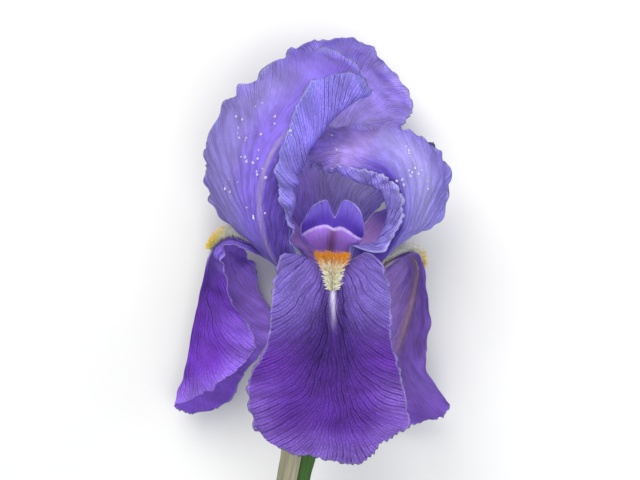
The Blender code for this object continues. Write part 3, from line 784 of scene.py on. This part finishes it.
def paint_fall(stripe_end, middle, painted_light_gain):
    """Painter for a fall: shoulders lavender, a deep violet glow in mid blade, violet below.

    The pale midline ends at stripe_end, middle is where the deep glow sits across the blade, and
    the last argument brightens the whole petal as painted light, making up for the shade that
    the side falls lie in."""
    def paint(a, b, edge, side):
        blade = rise(a, 18, 7)
        inner = blend_colours([
            (0.9 * fade(a, 42, 19), (0.27, 0.2, 0.62)),
            (0.75 * spot(a, b, 8, 0, 56, 10), (0.165, 0.08, 0.41)),
            (0.95 * spot(a, b, 57, middle, 15, 13), (0.048, 0.008, 0.17)),
            (0.85 * near(np.abs(b), 2.6, 1.6) * near(a, 48, 13), (0.06, 0.02, 0.19)),
            (0.6 * spot(a, b, 84, middle, 20, 5), (0.105, 0.02, 0.31)),
            (0.7 * fade(edge, 0, 14) * rise(a, 62, 14), (0.35, 0.2, 0.7)),
            (near(b, 0, 0.8) * fade(a, stripe_end - 12, 12), (0.66, 0.64, 0.76)),
            ((1 - blade) * near(b, 0, 8), (0.66, 0.5, 0.33))], (0.16, 0.038, 0.42))
        outer = blend_colours([
            (0.8 * fade(a, 70, 25), (0.33, 0.19, 0.6)),
            # painted light: a lighter patch on the left half of the outer face, towards the haft,
            # where the right fall's outer face lies in the shade of the front fall and the right
            # standard
            (0.7 * ease((-b - 2) / 6) * fade(a, 48, 25), (0.56, 0.36, 0.76)),
            (0.85 * near(b, 0, 2.2) * fade(a, 60, 22), (0.4, 0.27, 0.3)),
            (0.9 * (1 - blade), (0.23, 0.11, 0.25))], (0.19, 0.08, 0.45))
        # the gain is painted light: it brightens the tint of a fall that lies in shade, not its own
        # colour
        tint = np.minimum((outer + (inner - outer) * side[:, None]) * painted_light_gain, 0.95)
        near_stripe = 1 - 0.9 * near(b, 0, 0.8) * fade(a, stripe_end, 10)
        beside = 0.35 * spot(a, np.abs(b), 46, 3, 20, 2)
        strength = np.where(side > 0.5, 1.0 + beside, 0.4) * near_stripe
        return tint, strength
    return paint


fall_tissue = petal_tissue("fall_tissue", spacing=1.9, width=0.2, darker=(0.22, 0.16, 0.38, 1),
                           backlit_rim_colour=(0.5, 0.42, 0.8, 1), glow=0.4, crinkle=0.1)
# the last number of each row is painted light: the side falls lie lower, in shade, and are
# brightened
for name, petal, stripe_end, middle, painted_light_gain in (("fall_front", FALL_FRONT, 53, 1.5, 1.0),
                                                 ("fall_left", FALL_LEFT, 56, 0, 1.55),
                                                 ("fall_right", FALL_RIGHT, 56, 0, 1.3)):
    add_petal(name, petal, fall_tissue, paint_fall(stripe_end, middle, painted_light_gain))

# ---------------------------------------------------------------- the beards
# A strip of soft tapered hairs stands along the middle of each fall.  The front one is orange and
# turns pale with white tips where it runs out onto the blade; the side ones are white, then yellow.
HAIR_SIDES = 4
HAIR_STEPS = np.array([0.0, 0.35, 0.7, 0.92, 1.0])
HAIR_GIRTH = np.array([1.1, 0.95, 0.75, 0.5, 0.15])    # share of its radius at each step
STRIP_STEPS = [0, 0.5, 0.8, 1]                         # places along a beard for its tables


def hair_mesh(roots, aims, droops, lengths, girth):
    """Many closed tapered hairs: root + length (t aim + t squared / 2 droop), rings of four."""
    t = HAIR_STEPS
    spine = roots[:, None] + lengths[:, None, None] * (t[:, None] * aims[:, None]
                                                       + 0.5 * t[:, None] ** 2 * droops[:, None])
    across = unit(np.cross(aims, (0.37, 0.21, 0.9)))
    up = np.cross(across, aims)
    turn = around(HAIR_SIDES)
    ring = across[:, None] * np.cos(turn)[:, None] + up[:, None] * np.sin(turn)[:, None]
    points = spine[:, :, None] + ring[:, None] * (girth[:, None] * HAIR_GIRTH)[..., None, None]
    single = np.array(tube_faces(len(t), HAIR_SIDES))
    size = len(t) * HAIR_SIDES
    faces = (single + (np.arange(len(roots)) * size)[:, None, None]).reshape(-1, 4)
    return points.reshape(-1, 3), faces.tolist(), np.tile(np.repeat(t, HAIR_SIDES), len(roots))


def hair_finish():
    """Fleshy hair: painted tint, slightly glossy, letting light through."""
    material, wire = new_material("beard_hair")
    shade = wire.patchy(wire.coordinates(), 1500.0, 0.85, 1.1)
    wire.finish(wire.painted(shade), {"Roughness": 0.45}, glow=0.55)
    return material


BEARD_HAIR = hair_finish()


def add_beard(name, petal, start, end, count, widths, lengths, splay, paint, seed):
    """Hairs rooted at seeded places along the midline, leaning outwards: `splay` says how far."""
    draw = np.random.default_rng(seed)
    s = draw.uniform(0, 1, count)
    a = start + (end - start) * s
    half = smooth_curve(STRIP_STEPS, widths, s)
    b = draw.uniform(-1, 1, count) * half
    rib = Rib(petal)
    roots = bend(petal, rib, a, b)
    _, normal, side = rib.frame(a)
    ahead = unit(np.cross(normal, side))
    wide = smooth_curve(STRIP_STEPS, splay, s)[:, None]
    lean = (b / np.maximum(half, 0.3))[:, None] * wide + draw.normal(0, 0.2, (count, 1)) * wide
    aims = unit(normal + lean * side + draw.normal(0.05, 0.2, (count, 1)) * ahead)
    droops = 0.35 * ahead * draw.uniform(-1, 1, (count, 1)) + 0.25 * side * lean
    length = smooth_curve(STRIP_STEPS, lengths, s) * draw.uniform(0.75, 1.05, count)
    points, faces, t = hair_mesh(roots, aims, droops, length, draw.uniform(0.08, 0.13, count))
    per_hair = len(HAIR_STEPS) * HAIR_SIDES
    tint = paint(np.repeat(s, per_hair), t, np.repeat(draw.uniform(0, 1, count), per_hair))
    add_piece("hairs_" + name, points, faces, BEARD_HAIR, name, {"tint": tint})


def paint_front_beard(s, t, chance):
    """Orange hairs; further along the strip they turn pale yellow with white tips."""
    pale = ease((s - 0.6 + 0.2 * (chance - 0.5)) / 0.22)
    return blend_colours([(ease(t) * 0.8, (0.95, 0.5, 0.02)), (pale, (0.88, 0.78, 0.45)),
                          (pale * ease(t * 1.4), (0.97, 0.96, 0.84))], (0.66, 0.25, 0.01))


def paint_side_beard(s, t, chance):
    """White hairs; at the far end of the strip they turn yellow, some with orange tips."""
    yellow = ease((s - 0.68 + 0.15 * (chance - 0.5)) / 0.2)
    return blend_colours([(yellow * ease(t * 1.3), (0.93, 0.83, 0.12)),
                          (yellow * rise(t, 0.6, 0.4) * (chance > 0.5), (0.92, 0.62, 0.05))],
                         (0.97, 0.97, 0.9))


add_beard("beard_front", FALL_FRONT, 13, 39, count=1700, widths=[2.2, 2.7, 1.3, 0.4],
          lengths=[4, 5, 3, 2.2], splay=[0.7, 0.85, 1.2, 1.5], paint=paint_front_beard, seed=41)
side_beard = {"widths": [1.6, 2, 2.2, 0.9], "lengths": [2.6, 3.4, 4.6, 2.8],
              "splay": [0.8, 0.8, 0.8, 0.8], "paint": paint_side_beard}
add_beard("beard_left", FALL_LEFT, 15, 47, count=1300, seed=42, **side_beard)
add_beard("beard_right", FALL_RIGHT, 14, 39, count=1200, seed=43, **side_beard)

# ---------------------------------------------------------------- the standards
# Three thin inner petals stand up and lap over each other as a dome.  The left one is folded
# along its rib, and its near margin rolls outwards as a veined band; the right one arches across
# the front with its inner rim rolled out as a frill; the third closes the dome behind them.
STANDARD_BASE = (0, 0, 80, 40, 0, 10)  # curled round the ring where the petal starts
BACK_SIDE = [STANDARD_BASE, (0.3, 10, 14, 40, 0, 10), (0.6, 10, 14, 40, 0, 10),
             (1, 5, 8, 40, 0, 10)]

STANDARD_LEFT = {
    "rib": [(-5.6, -13, 3.2), (-18.2, -1.8, 14), (-22, 7.4, 19), (-23, 18.3, 23),
            (-20.7, 29.5, 26), (-15.5, 38, 28), (-6.6, 46.3, 27), (4.6, 52.4, 24),
            (12.5, 55.5, 20)],
    "facing": [(-0.87, 0, 0.5), (-0.8, 0, 0.6), (-0.6, 0, 0.8), (-0.4, 0, 0.9), (-0.3, 0.1, 0.95),
               (-0.2, 0.2, 0.95), (-0.1, 0.35, 0.9), (0, 0.4, 0.9), (0, 0.4, 0.9)],
    "left_edge": [(0, -3), (9, -3.2), (15, -5), (19, -12), (22.5, -25), (26, -33.5), (32, -39.5),
                  (41, -42), (52, -42), (62, -36.5), (74, -33.5), (88, -35.5)],
    "end": [(88, -35.5), (97, -27.5), (103, -15.5), (99, 0), (92, 17), (82, 23)],
    "right_edge": [(0, 3), (8, 3.5), (14, 7.2), (19, 10.1), (25, 11.8), (33, 14), (46, 19),
                   (57, 21.5), (70, 22), (82, 23)],
    "left": [STANDARD_BASE, (0.13, 5, 0, 40, 0, 10), (0.22, 12, 2, 40, 0, 10),
             (0.45, 25, 5, 40, 0, 10), (0.7, 15, 8, 40, 0, 10), (1, 10, 8, 40, 0, 10)],
    "right": [(0, 0, 80, 6, 0, 8), (0.2, 10, 0, 9, -150, 8), (0.45, 5, 5, 9, -190, 9),
              (0.6, 7, 4, 8, -190, 9), (0.75, 10, 4, 5, -190, 9), (0.9, 10, 0, 1.5, -190, 9),
              (1, 10, 0, 0, -190, 9)],
    "fan": (12, 3, 22, 8, 2.6, 1.5), "ripple": (1.0, 7, 5), "pleat": (0.22, 40), "seed": 31}

STANDARD_RIGHT = {
    "rib": [(5.5, -13.4, 3.1), (21.3, 5.1, 15), (23.4, 10.4, 17), (23.6, 15.9, 19),
            (22.9, 21, 21), (20.9, 25.5, 22.3), (16.6, 29.6, 23), (10.2, 32.3, 22.8),
            (3.1, 34.7, 21), (-4.1, 34.3, 18.5), (-9, 31.1, 16.5)],
    "facing": [(0.87, 0, 0.5), (0.6, 0, 0.8), (0.4, 0, 0.9), (0.3, 0, 0.95), (0.3, 0, 0.95),
               (0.3, 0.1, 0.95), (0.2, 0.3, 0.9), (0.1, 0.4, 0.9), (0.1, 0.5, 0.8),
               (0, 0.5, 0.8), (0, 0.5, 0.8)],
    "left_edge": [(0, -3), (8, -5), (14, -11), (19, -13.5), (24, -12.8), (30, -11.8), (38, -12.5),
                  (50, -14.5), (62, -14), (72, -10.5)],
    "end": [(72, -10.5), (80, -6), (84, 0), (83, 7), (79, 12), (72, 16), (62, 24), (51, 30.5)],
    "right_edge": [(0, 3), (9, 3.2), (17, 5.5), (22, 12), (26, 20.5), (32, 29.3), (41, 33),
                   (51, 30.5)],
    "left": [(0, 0, 80, 30, 0, 10), (0.14, 12, 14, 14, 0, 8), (0.21, 20, 6, 11, -60, 8),
             (0.29, 32, 3, 3, -150, 8), (0.45, 38, 3, 2, -200, 8), (0.7, 30, 4, 5, -200, 8),
             (1, 20, 4, 5, -190, 8)],
    "right": [STANDARD_BASE, (0.13, 22, 2, 40, 0, 8), (0.25, 28, 2, 40, 0, 8),
              (0.45, 32, 3, 40, 0, 9), (0.7, 20, 9, 40, 0, 9), (1, 10, 10, 40, 0, 9)],
    "fan": (14, 3, 20, 8, 2.6, 1.5), "ripple": (0.8, 5, 4), "pleat": (0.16, 36), "seed": 32}

STANDARD_BACK = {
    "rib": [(0, -13, -6.5), (-2, -2, -16), (-3, 14, -26), (-1.5, 32, -32), (2, 49, -32),
            (7.5, 62.5, -27.5), (11.5, 71, -20.5), (15, 76.5, -12.5)],
    "facing": [(0, 0, -1), (0, 0, -1), (0, 0, -1), (0, 0, -1), (0.1, 0.1, -1), (0.2, 0.4, -1),
               (0.3, 0.6, -0.8), (0.3, 0.7, -0.7)],
    "left_edge": [(0, -3), (10, -4), (20, -11), (29, -21), (38, -26.5), (52, -28), (68, -27),
                  (80, -26.5), (91, -28)],
    "end": [(91, -28), (97, -22.5), (99, -16), (101, -8), (103, 0), (102.5, 6), (99.5, 13),
            (96.5, 19), (91, 26)],
    "right_edge": [(0, 3), (10, 4), (20, 11), (30, 21), (40, 27), (56, 32), (72, 31), (91, 26)],
    "left": BACK_SIDE, "right": BACK_SIDE,
    "fan": (14, 3, 24, 12, 2.6, 1.5), "ripple": (0.6, 8, 7), "pleat": (0.26, 30), "seed": 33}


def paint_left_standard(a, b, edge, side):
    """Outer face lavender, greyer on the side lobe, deep violet by the base, painted shade on its
    right half up to mid height; band face bluish.
    """
    lobe = ease((-b - 6) / 14)
    outer = blend_colours([
        (0.8 * lobe, (0.38, 0.32, 0.66)),
        (0.55 * fade(a, 18, 16), (0.24, 0.15, 0.48)),
        # painted shade: the right half of the outer face is darkened below mid height, where it
        # lies in shade
        (0.85 * ease(b / 3) * fade(a, 50, 18), (0.15, 0.08, 0.43)),
        (0.8 * near(b, 0, 0.8) * fade(a, 58, 20), (0.52, 0.42, 0.56)),
        (0.6 * rise(a, 72, 20), (0.29, 0.175, 0.76)),
        (0.45 * fade(edge, 0, 4), (0.48, 0.49, 0.84))], (0.35, 0.235, 0.83))
    inner = blend_colours([
        (0.5 * fade(edge, 0, 6), (0.42, 0.42, 0.88)),
        (0.5 * fade(a, 40, 20), (0.42, 0.31, 0.86))], (0.38, 0.3, 0.88))
    tint = inner + (outer - inner) * side[:, None]
    towards_rim = 0.38 + 0.62 * fade(edge, 0, 18)
    return tint, np.where(side > 0.5, towards_rim, 1.25)


def paint_right_standard(a, b, edge, side):
    """Outer face pale lavender on the shoulder as a painted highlight, violet at the base, and deep
    violet painted shadow along the rolled rim.
    """
    outer = blend_colours([
        # painted highlight: the pale patch on the shoulder stands for light falling on it
        (0.9 * spot(a, b, 44, 14, 18, 10), (0.62, 0.56, 0.96)),
        (0.8 * rise(a, 56, 12), (0.72, 0.5, 0.99)),
        (0.6 * fade(a, 16, 16), (0.24, 0.15, 0.56)),
        # painted shadow: the deep violet band beside the rolled rim, in the valley under the frill
        (0.85 * ease((3 - b) / 4) * fade(a, 52, 18), (0.14, 0.065, 0.5)),
        (0.45 * fade(edge, 0, 4), (0.52, 0.52, 0.88))], (0.37, 0.29, 0.83))
    frill = ease((-b - 5) / 3)
    inner = blend_colours([
        (0.8 * frill * rise(a, 16, 8), (0.44, 0.37, 0.86)),
        (0.75 * frill * fade(edge, 0, 1.6), (0.74, 0.72, 0.97)),
        (0.7 * (1 - frill) * fade(edge, 0, 5), (0.47, 0.44, 0.88))], (0.24, 0.15, 0.68))
    tint = inner + (outer - inner) * side[:, None]
    towards_rim = 0.38 + 0.67 * fade(edge, 0, 18)
    return tint, np.where(side > 0.5, towards_rim, 0.8 + 0.4 * frill)


def paint_back_standard(a, b, edge, side):
    """Inner face violet deep in the dome, bright lavender towards the crown.  These inner tints are
    raised as painted light, as the dome's inside lies in shade, and a near-white spot on its right
    is a painted pool of light shining through the petals.
    """
    inner = blend_colours([
        (0.85 * fade(a, 44, 24), (0.64, 0.42, 0.93)),
        # painted light: a near-white spot where light comes through the petals into the dome
        (0.9 * spot(a, b, 46, -14, 22, 14), (0.95, 0.9, 0.98)),
        (0.7 * near(b, 0, 1.2) * fade(a, 60, 16), (0.7, 0.58, 0.86)),
        (0.3 * fade(edge, 0, 5), (0.62, 0.6, 0.92))], (0.56, 0.43, 0.93))
    outer = blend_colours([
        (0.6 * fade(a, 16, 16), (0.24, 0.16, 0.52)),
        (0.7 * near(b, 0, 0.9) * fade(a, 58, 20), (0.48, 0.4, 0.56))],
        (0.33, 0.25, 0.76))
    tint = inner + (outer - inner) * side[:, None]
    return tint, np.where(side > 0.5, 0.45, 0.5 + 0.5 * fade(edge, 0, 16))


standard_tissue = petal_tissue("standard_tissue", spacing=1.5, width=0.17,
                               darker=(0.34, 0.26, 0.52, 1), backlit_rim_colour=(0.62, 0.62, 0.92, 1),
                               glow=0.5, crinkle=0.08)
add_petal("standard_back", STANDARD_BACK, standard_tissue, paint_back_standard)
left_sheet = add_petal("standard_left", STANDARD_LEFT, standard_tissue, paint_left_standard)
right_sheet = add_petal("standard_right", STANDARD_RIGHT, standard_tissue, paint_right_standard)

# ---------------------------------------------------------------- dew
# Clear drops of dew about a millimetre across cling to the outer faces of the left and right
# standards, in loose groups; a whitish share in their material paints the glints they catch.
DROP_SIDES = 10
DROP_RINGS = [(0.7, -0.08), (1.0, 0.05), (0.92, 0.38), (0.62, 0.62), (0.22, 0.74)]
DROP_RADII = 0.28, 0.62               # the rings' girth and height above are shares of these
DROP_SEARCH = 0.6                     # how far around its place a drop may pick the highest point
DROP_FOOTING = 14                     # petal points that give the plane it sits on


def make_dew_and_glints():
    """Water that lets only part of the light through: its near-white share paints the drops'
    bright glints, with a faint unevenness in its gloss and whiteness.
    """
    material, wire = new_material("dew_water_and_glints")
    gloss = wire.patchy(wire.coordinates(), 800.0, 0.01, 0.05)
    tone = wire.patchy(wire.coordinates(), 300.0, 0.0, 1.0)
    # the share that does not let light through is near white: painted glints
    wire.finish(wire.mix(tone, (0.95, 0.97, 1.0, 1), (1.0, 1.0, 1.0, 1)),
                {"Roughness": gloss, "IOR": 1.33, "Transmission Weight": 0.7})
    return material


DEW_WATER_AND_GLINTS = make_dew_and_glints()


def add_dew(name, sheet, groups, seed):
    """Low domes on the facing side of a petal; their feet dip a little into it.

    Each group is (X, Y, spread, number) in the flower's frame.  A drop sits at the highest petal
    point near its place, square to the best plane through the points around that point."""
    points, side = sheet
    outer = points[side == 1]
    draw = np.random.default_rng(seed)
    turn = around(DROP_SIDES)
    dome = np.concatenate([np.stack([girth * np.cos(turn), girth * np.sin(turn),
                                     np.full(DROP_SIDES, height)], -1)
                           for girth, height in DROP_RINGS])
    dome_faces = tube_faces(len(DROP_RINGS), DROP_SIDES)
    drops, faces = [], []
    for x, y, spread, number in groups:
        for wanted in draw.normal((x, y), spread, (number, 2)):
            away = np.linalg.norm(outer[:, :2] - wanted, axis=1)
            close = outer[away < away.min() + DROP_SEARCH]
            top = close[close[:, 2].argmax()]
            ring = outer[np.linalg.norm(outer - top, axis=1).argsort()[:DROP_FOOTING]]
            along, across, normal = np.linalg.svd(ring - ring.mean(axis=0))[2]
            normal = normal * np.sign(normal[2])
            drop = dome * draw.uniform(*DROP_RADII)
            first = len(drops) * len(dome)
            drops.append(top + drop @ np.stack([along, np.cross(normal, along), normal]))
            faces.extend([[first + corner for corner in face] for face in dome_faces])
    add_piece(name, np.concatenate(drops), faces, DEW_WATER_AND_GLINTS, None)


add_dew("dew_left_standard", left_sheet,
        [(-30, 42, 2.5, 6), (-25, 34, 3.0, 9), (-23.5, 27, 1.8, 5), (-24, 16, 2.5, 4),
         (-14, 42, 2.5, 6), (-32, 24, 4.0, 4), (-24.5, 49, 1.2, 2)], 51)
add_dew("dew_right_standard", right_sheet,
        [(29.5, 27, 2.6, 9), (26, 34, 2.0, 3), (22.5, 24.5, 1.8, 4), (1.5, 35.5, 2.0, 3)], 52)

# ---------------------------------------------------------------- style arms and stamens
# Each fall is roofed by a petal-like style arm that ends in two upturned crests, with a thin
# stigma lip across its underside.  A slim stamen lies beneath each arm.
ARM_RIB = [(0, -8.5, 3.8), (0, -3.5, 9.5), (0.1, 2, 14.5), (0.5, 6.5, 18), (1.2, 11, 19.5),
           (1.5, 16, 18.5), (1.5, 18, 17.5)]
ARM_FACING = [(0, 0.8, -0.6), (0, 0.8, -0.6), (0, 0.8, -0.6), (0, 0.7, -0.7), (0, 0.3, -1),
              (0, -0.1, -1), (0, -0.3, -1)]
ARM_EDGE = [(0, 1.8), (7, 2.8), (13, 6), (18, 10), (21, 10.9), (26, 9.8)]
# one crest, from its edge inwards
ARM_END = [(26, 9.8), (29.5, 8.4), (31.8, 6.4), (33.2, 4.2), (33.4, 2.6), (31, 1.4), (28.6, 0.6)]
ARM_NOTCH = 27.6
ARM_FLAT = [(0, 0, -80, 6, 0, 6), (0.4, -3, -10, 6, 0, 8), (0.6, -3, -12, 6, 0, 8),
            (0.8, 0, 0, 8, 0, 8), (1, 5, 10, 12, 10, 10)]
# the two rear arms stay lower and their sides hang like a roof
REAR_RIB = [(0, -8.5, 3.8), (0, -1, 7), (0, 6.5, 10.5), (0, 12.5, 14.5), (0, 16, 18.5),
            (0, 18, 22)]
REAR_FACING = [(0, 0.6, -0.8), (0, 0.6, -0.8), (0, 0.7, -0.7), (0, 0.9, -0.5), (0, 1, -0.3),
               (0, 1, -0.2)]
REAR_ROOF = [(0, 0, -80, 6, 0, 6), (0.35, 0, -10, 6, 0, 8), (0.55, 45, 0, 6, 0, 8),
             (0.8, 60, 0, 8, 0, 8), (1, 50, 0, 12, 0, 10)]
# name end, turn about the axis, length and width factors, midline, its facing, side profile
ARMS = [("front", 0, 1.0, 1.0, ARM_RIB, ARM_FACING, ARM_FLAT),
        ("left", -120, 0.95, 0.9, REAR_RIB, REAR_FACING, REAR_ROOF),
        ("right", 112, 1.0, 0.95, REAR_RIB, REAR_FACING, REAR_ROOF)]
# the stigma lip: distance from the base, dip in its middle, bow towards its ends, height
LIP_REACH, LIP_DIP, LIP_BOW, LIP_RISE = 24.9, 1.1, 0.05, 0.9
ARM_ROWS, ARM_COLUMNS = 120, 110
ARM_BASE = (0, -8.5, 3.8)             # where every arm leaves the column


def turned(points, degrees):
    """Points turned about the flower's axis; 0 faces up, positive turns towards +X."""
    c, s = np.cos(np.radians(degrees)), np.sin(np.radians(degrees))
    p = np.asarray(points, float)
    return np.stack([p[:, 0] * c + p[:, 2] * s, p[:, 1], p[:, 2] * c - p[:, 0] * s], -1)


def arm_petal(degrees, length, width, midline, facing, profile):
    """One style arm with its two crests, turned into its place."""
    _, low, near_axis = ARM_BASE
    rib = [(x, (y - low) * length + low, near_axis + (z - near_axis) * length)
           for x, y, z in midline]
    edge = [(a * length, b * width) for a, b in ARM_EDGE]
    crest = [(a * length, b * width) for a, b in ARM_END]
    end = [(a, -b) for a, b in crest] + [(ARM_NOTCH * length, 0)] + crest[::-1]
    return {"rib": turned(rib, degrees), "facing": turned(facing, degrees), "end": end,
            "left_edge": [(a, -b) for a, b in edge], "right_edge": edge,
            "left": profile, "right": profile}


def arm_sheet(petal, length):
    """Fine style arm.  Its underside carries the lip: a ledge that rises towards a bowed edge
    across the arm and then drops back in one step."""
    rib, _, _, a, b, edge = flat_grid(petal, -0.01, ARM_ROWS, ARM_COLUMNS)
    long_a, wide_b = a / length, b / length
    before = long_a - (LIP_REACH - LIP_DIP * near(wide_b, 0, 1.8) - LIP_BOW * wide_b**2)
    lip = LIP_RISE * rise(before, -7, 7) * ease(-before / 0.35) * ease(edge / 1.5)
    grid = bend(petal, rib, a, b)
    normal = sheet_normal(grid)
    frill = 0.25 * np.exp(-edge / 1.5) * rise(long_a, 22, 4) * waves(a, b, 3.5, 51)
    grid = grid + normal * frill[..., None]
    points, faces, source, side = sheet_sides(grid, 0.5 * ease(edge / 1.2) + 0.12)
    pick = lambda table: table.ravel()[source]
    down = normal.reshape(-1, 3)[source]
    points = points - down * (pick(lip) * (side == 0))[:, None]
    return points, faces, pick(long_a), pick(wide_b), pick(edge), side, pick(before)


def paint_arm(a, b, edge, side, before):
    """Pinkish violet keel below the lip, pale lip edge, deep violet crest bases, lighter tips."""
    crest = ease(before / 0.5)
    under = blend_colours([
        (0.85 * near(b, 0, 1.0) * rise(a, 8, 4), (0.33, 0.15, 0.06)),
        (0.55 * near(b, 0, 2.4) * rise(a, 12, 6), (0.2, 0.08, 0.42)),
        (crest, (0.1, 0.045, 0.43)),
        (crest * rise(before, 2, 6), (0.21, 0.14, 0.62)),
        (rise(before, -0.55, 0.25) * fade(before, 0.1, 0.2), (0.62, 0.5, 0.86)),
        (0.7 * fade(edge, 0, 0.8), (0.6, 0.48, 0.9))], (0.58, 0.31, 0.97))
    over = blend_colours([
        (0.7 * fade(edge, 0, 1.0), (0.48, 0.4, 0.82)),
        (0.6 * rise(a, 20, 8), (0.46, 0.3, 0.8))], (0.96, 0.58, 0.99))
    return under + (over - under) * side[:, None]


def stamen_finish():
    """Dry anther and thread: painted tint with powdery grain, quite matt."""
    material, wire = new_material("stamen_skin")
    grain = wire.noise(wire.coordinates(), 4000.0)
    shade = wire.ramp(grain, 0.3, 0.7, 0.78, 1.12)
    wire.finish(wire.painted(shade), {"Roughness": 0.85}, grain, strength=0.4, depth=0.0002)
    return material


STAMEN_SKIN = stamen_finish()
style_tissue = petal_tissue("style_tissue", spacing=1.2, width=0.13, darker=(0.62, 0.55, 0.75, 1),
                            backlit_rim_colour=(0.6, 0.5, 0.86, 1), glow=0.35, crinkle=0.06)
THREAD = [(0, -12.9, 4.4), (0, -10.5, 6.2), (0, -8, 8.4), (0, -6.1, 10.2)]
ANTHER = [(0, -5.9, 11), (0.1, -5.4, 11.7), (0.2, -4, 13.2), (0.3, -2.9, 14.8),
          (0.4, -2.1, 16), (0.5, -1.8, 16.6)]


def add_stamen_part(name, keys, degrees, radii, groove, colour):
    """Tube along turned points: round thread, or an anther with a groove down each side."""
    rows, sides = 40, 28
    keys = turned(keys, degrees)
    steps = travelled(keys)
    along = np.linspace(0, 1, rows)
    path = smooth_curve(steps, keys, along * steps[-1])
    swell = 1 - groove * np.abs(np.cos(around(sides))) ** 6 * np.ones((rows, 1))
    girth = smooth_curve(np.linspace(0, 1, len(radii)), radii, along, True)

    def grainy(p):
        return blend_colours([(0.4 * patches(p[:, 0], p[:, 1], 1.5, 61),
                               np.asarray(colour) * 0.7)], colour)
    add_tube(name, path, girth, swell, STAMEN_SKIN, grainy, (0.3, 0.1, 1))


ARM_VEINS = 1.2                       # veins to a millimetre across, up to where the arm widens
ARM_WIDENS = 12
for end, degrees, *shape in ARMS:
    points, faces, a, b, edge, side, before = arm_sheet(arm_petal(degrees, *shape), shape[0])
    number = b * ARM_VEINS * ARM_WIDENS / np.maximum(a, ARM_WIDENS)
    veins = np.stack([number, 0 * a + 0.02, 0 * a + 0.45], -1)
    add_piece("shaped_style_arm_" + end, points, faces, style_tissue, "style_arm_" + end,
              marks(paint_arm(a, b, edge, side, before), veins, edge, a, b, side))
    add_stamen_part("filament_" + end, THREAD, degrees, radii=[0.55, 0.5, 0.5, 0.45], groove=0.0,
                    colour=(0.62, 0.52, 0.74))
    add_stamen_part("anther_" + end, ANTHER, degrees, radii=[0.5, 0.85, 1.0, 1.0, 0.8, 0.4],
                    groove=0.3, colour=(0.74, 0.62, 0.42))


def column_tint(p):
    """Pale violet with darker patches."""
    return blend_colours([(patches(p[:, 0], p[:, 2], 4, 71), (0.4, 0.34, 0.6))],
                         (0.5, 0.44, 0.66))


def add_style_column():
    """Short column where the three arms join: three soft lobes, flaring upwards."""
    rows = 24
    path = np.stack([np.zeros(rows), np.linspace(-13.4, -8.6, rows), np.zeros(rows)], -1)
    girth = smooth_curve([0, 0.3, 1], [2.2, 2.3, 2.8], np.linspace(0, 1, rows))
    add_tube("style_column", path, girth, lobed(rows, 48, 3, 0.04),
             waxy_green("style_column_skin", 0.2), column_tint)


add_style_column()
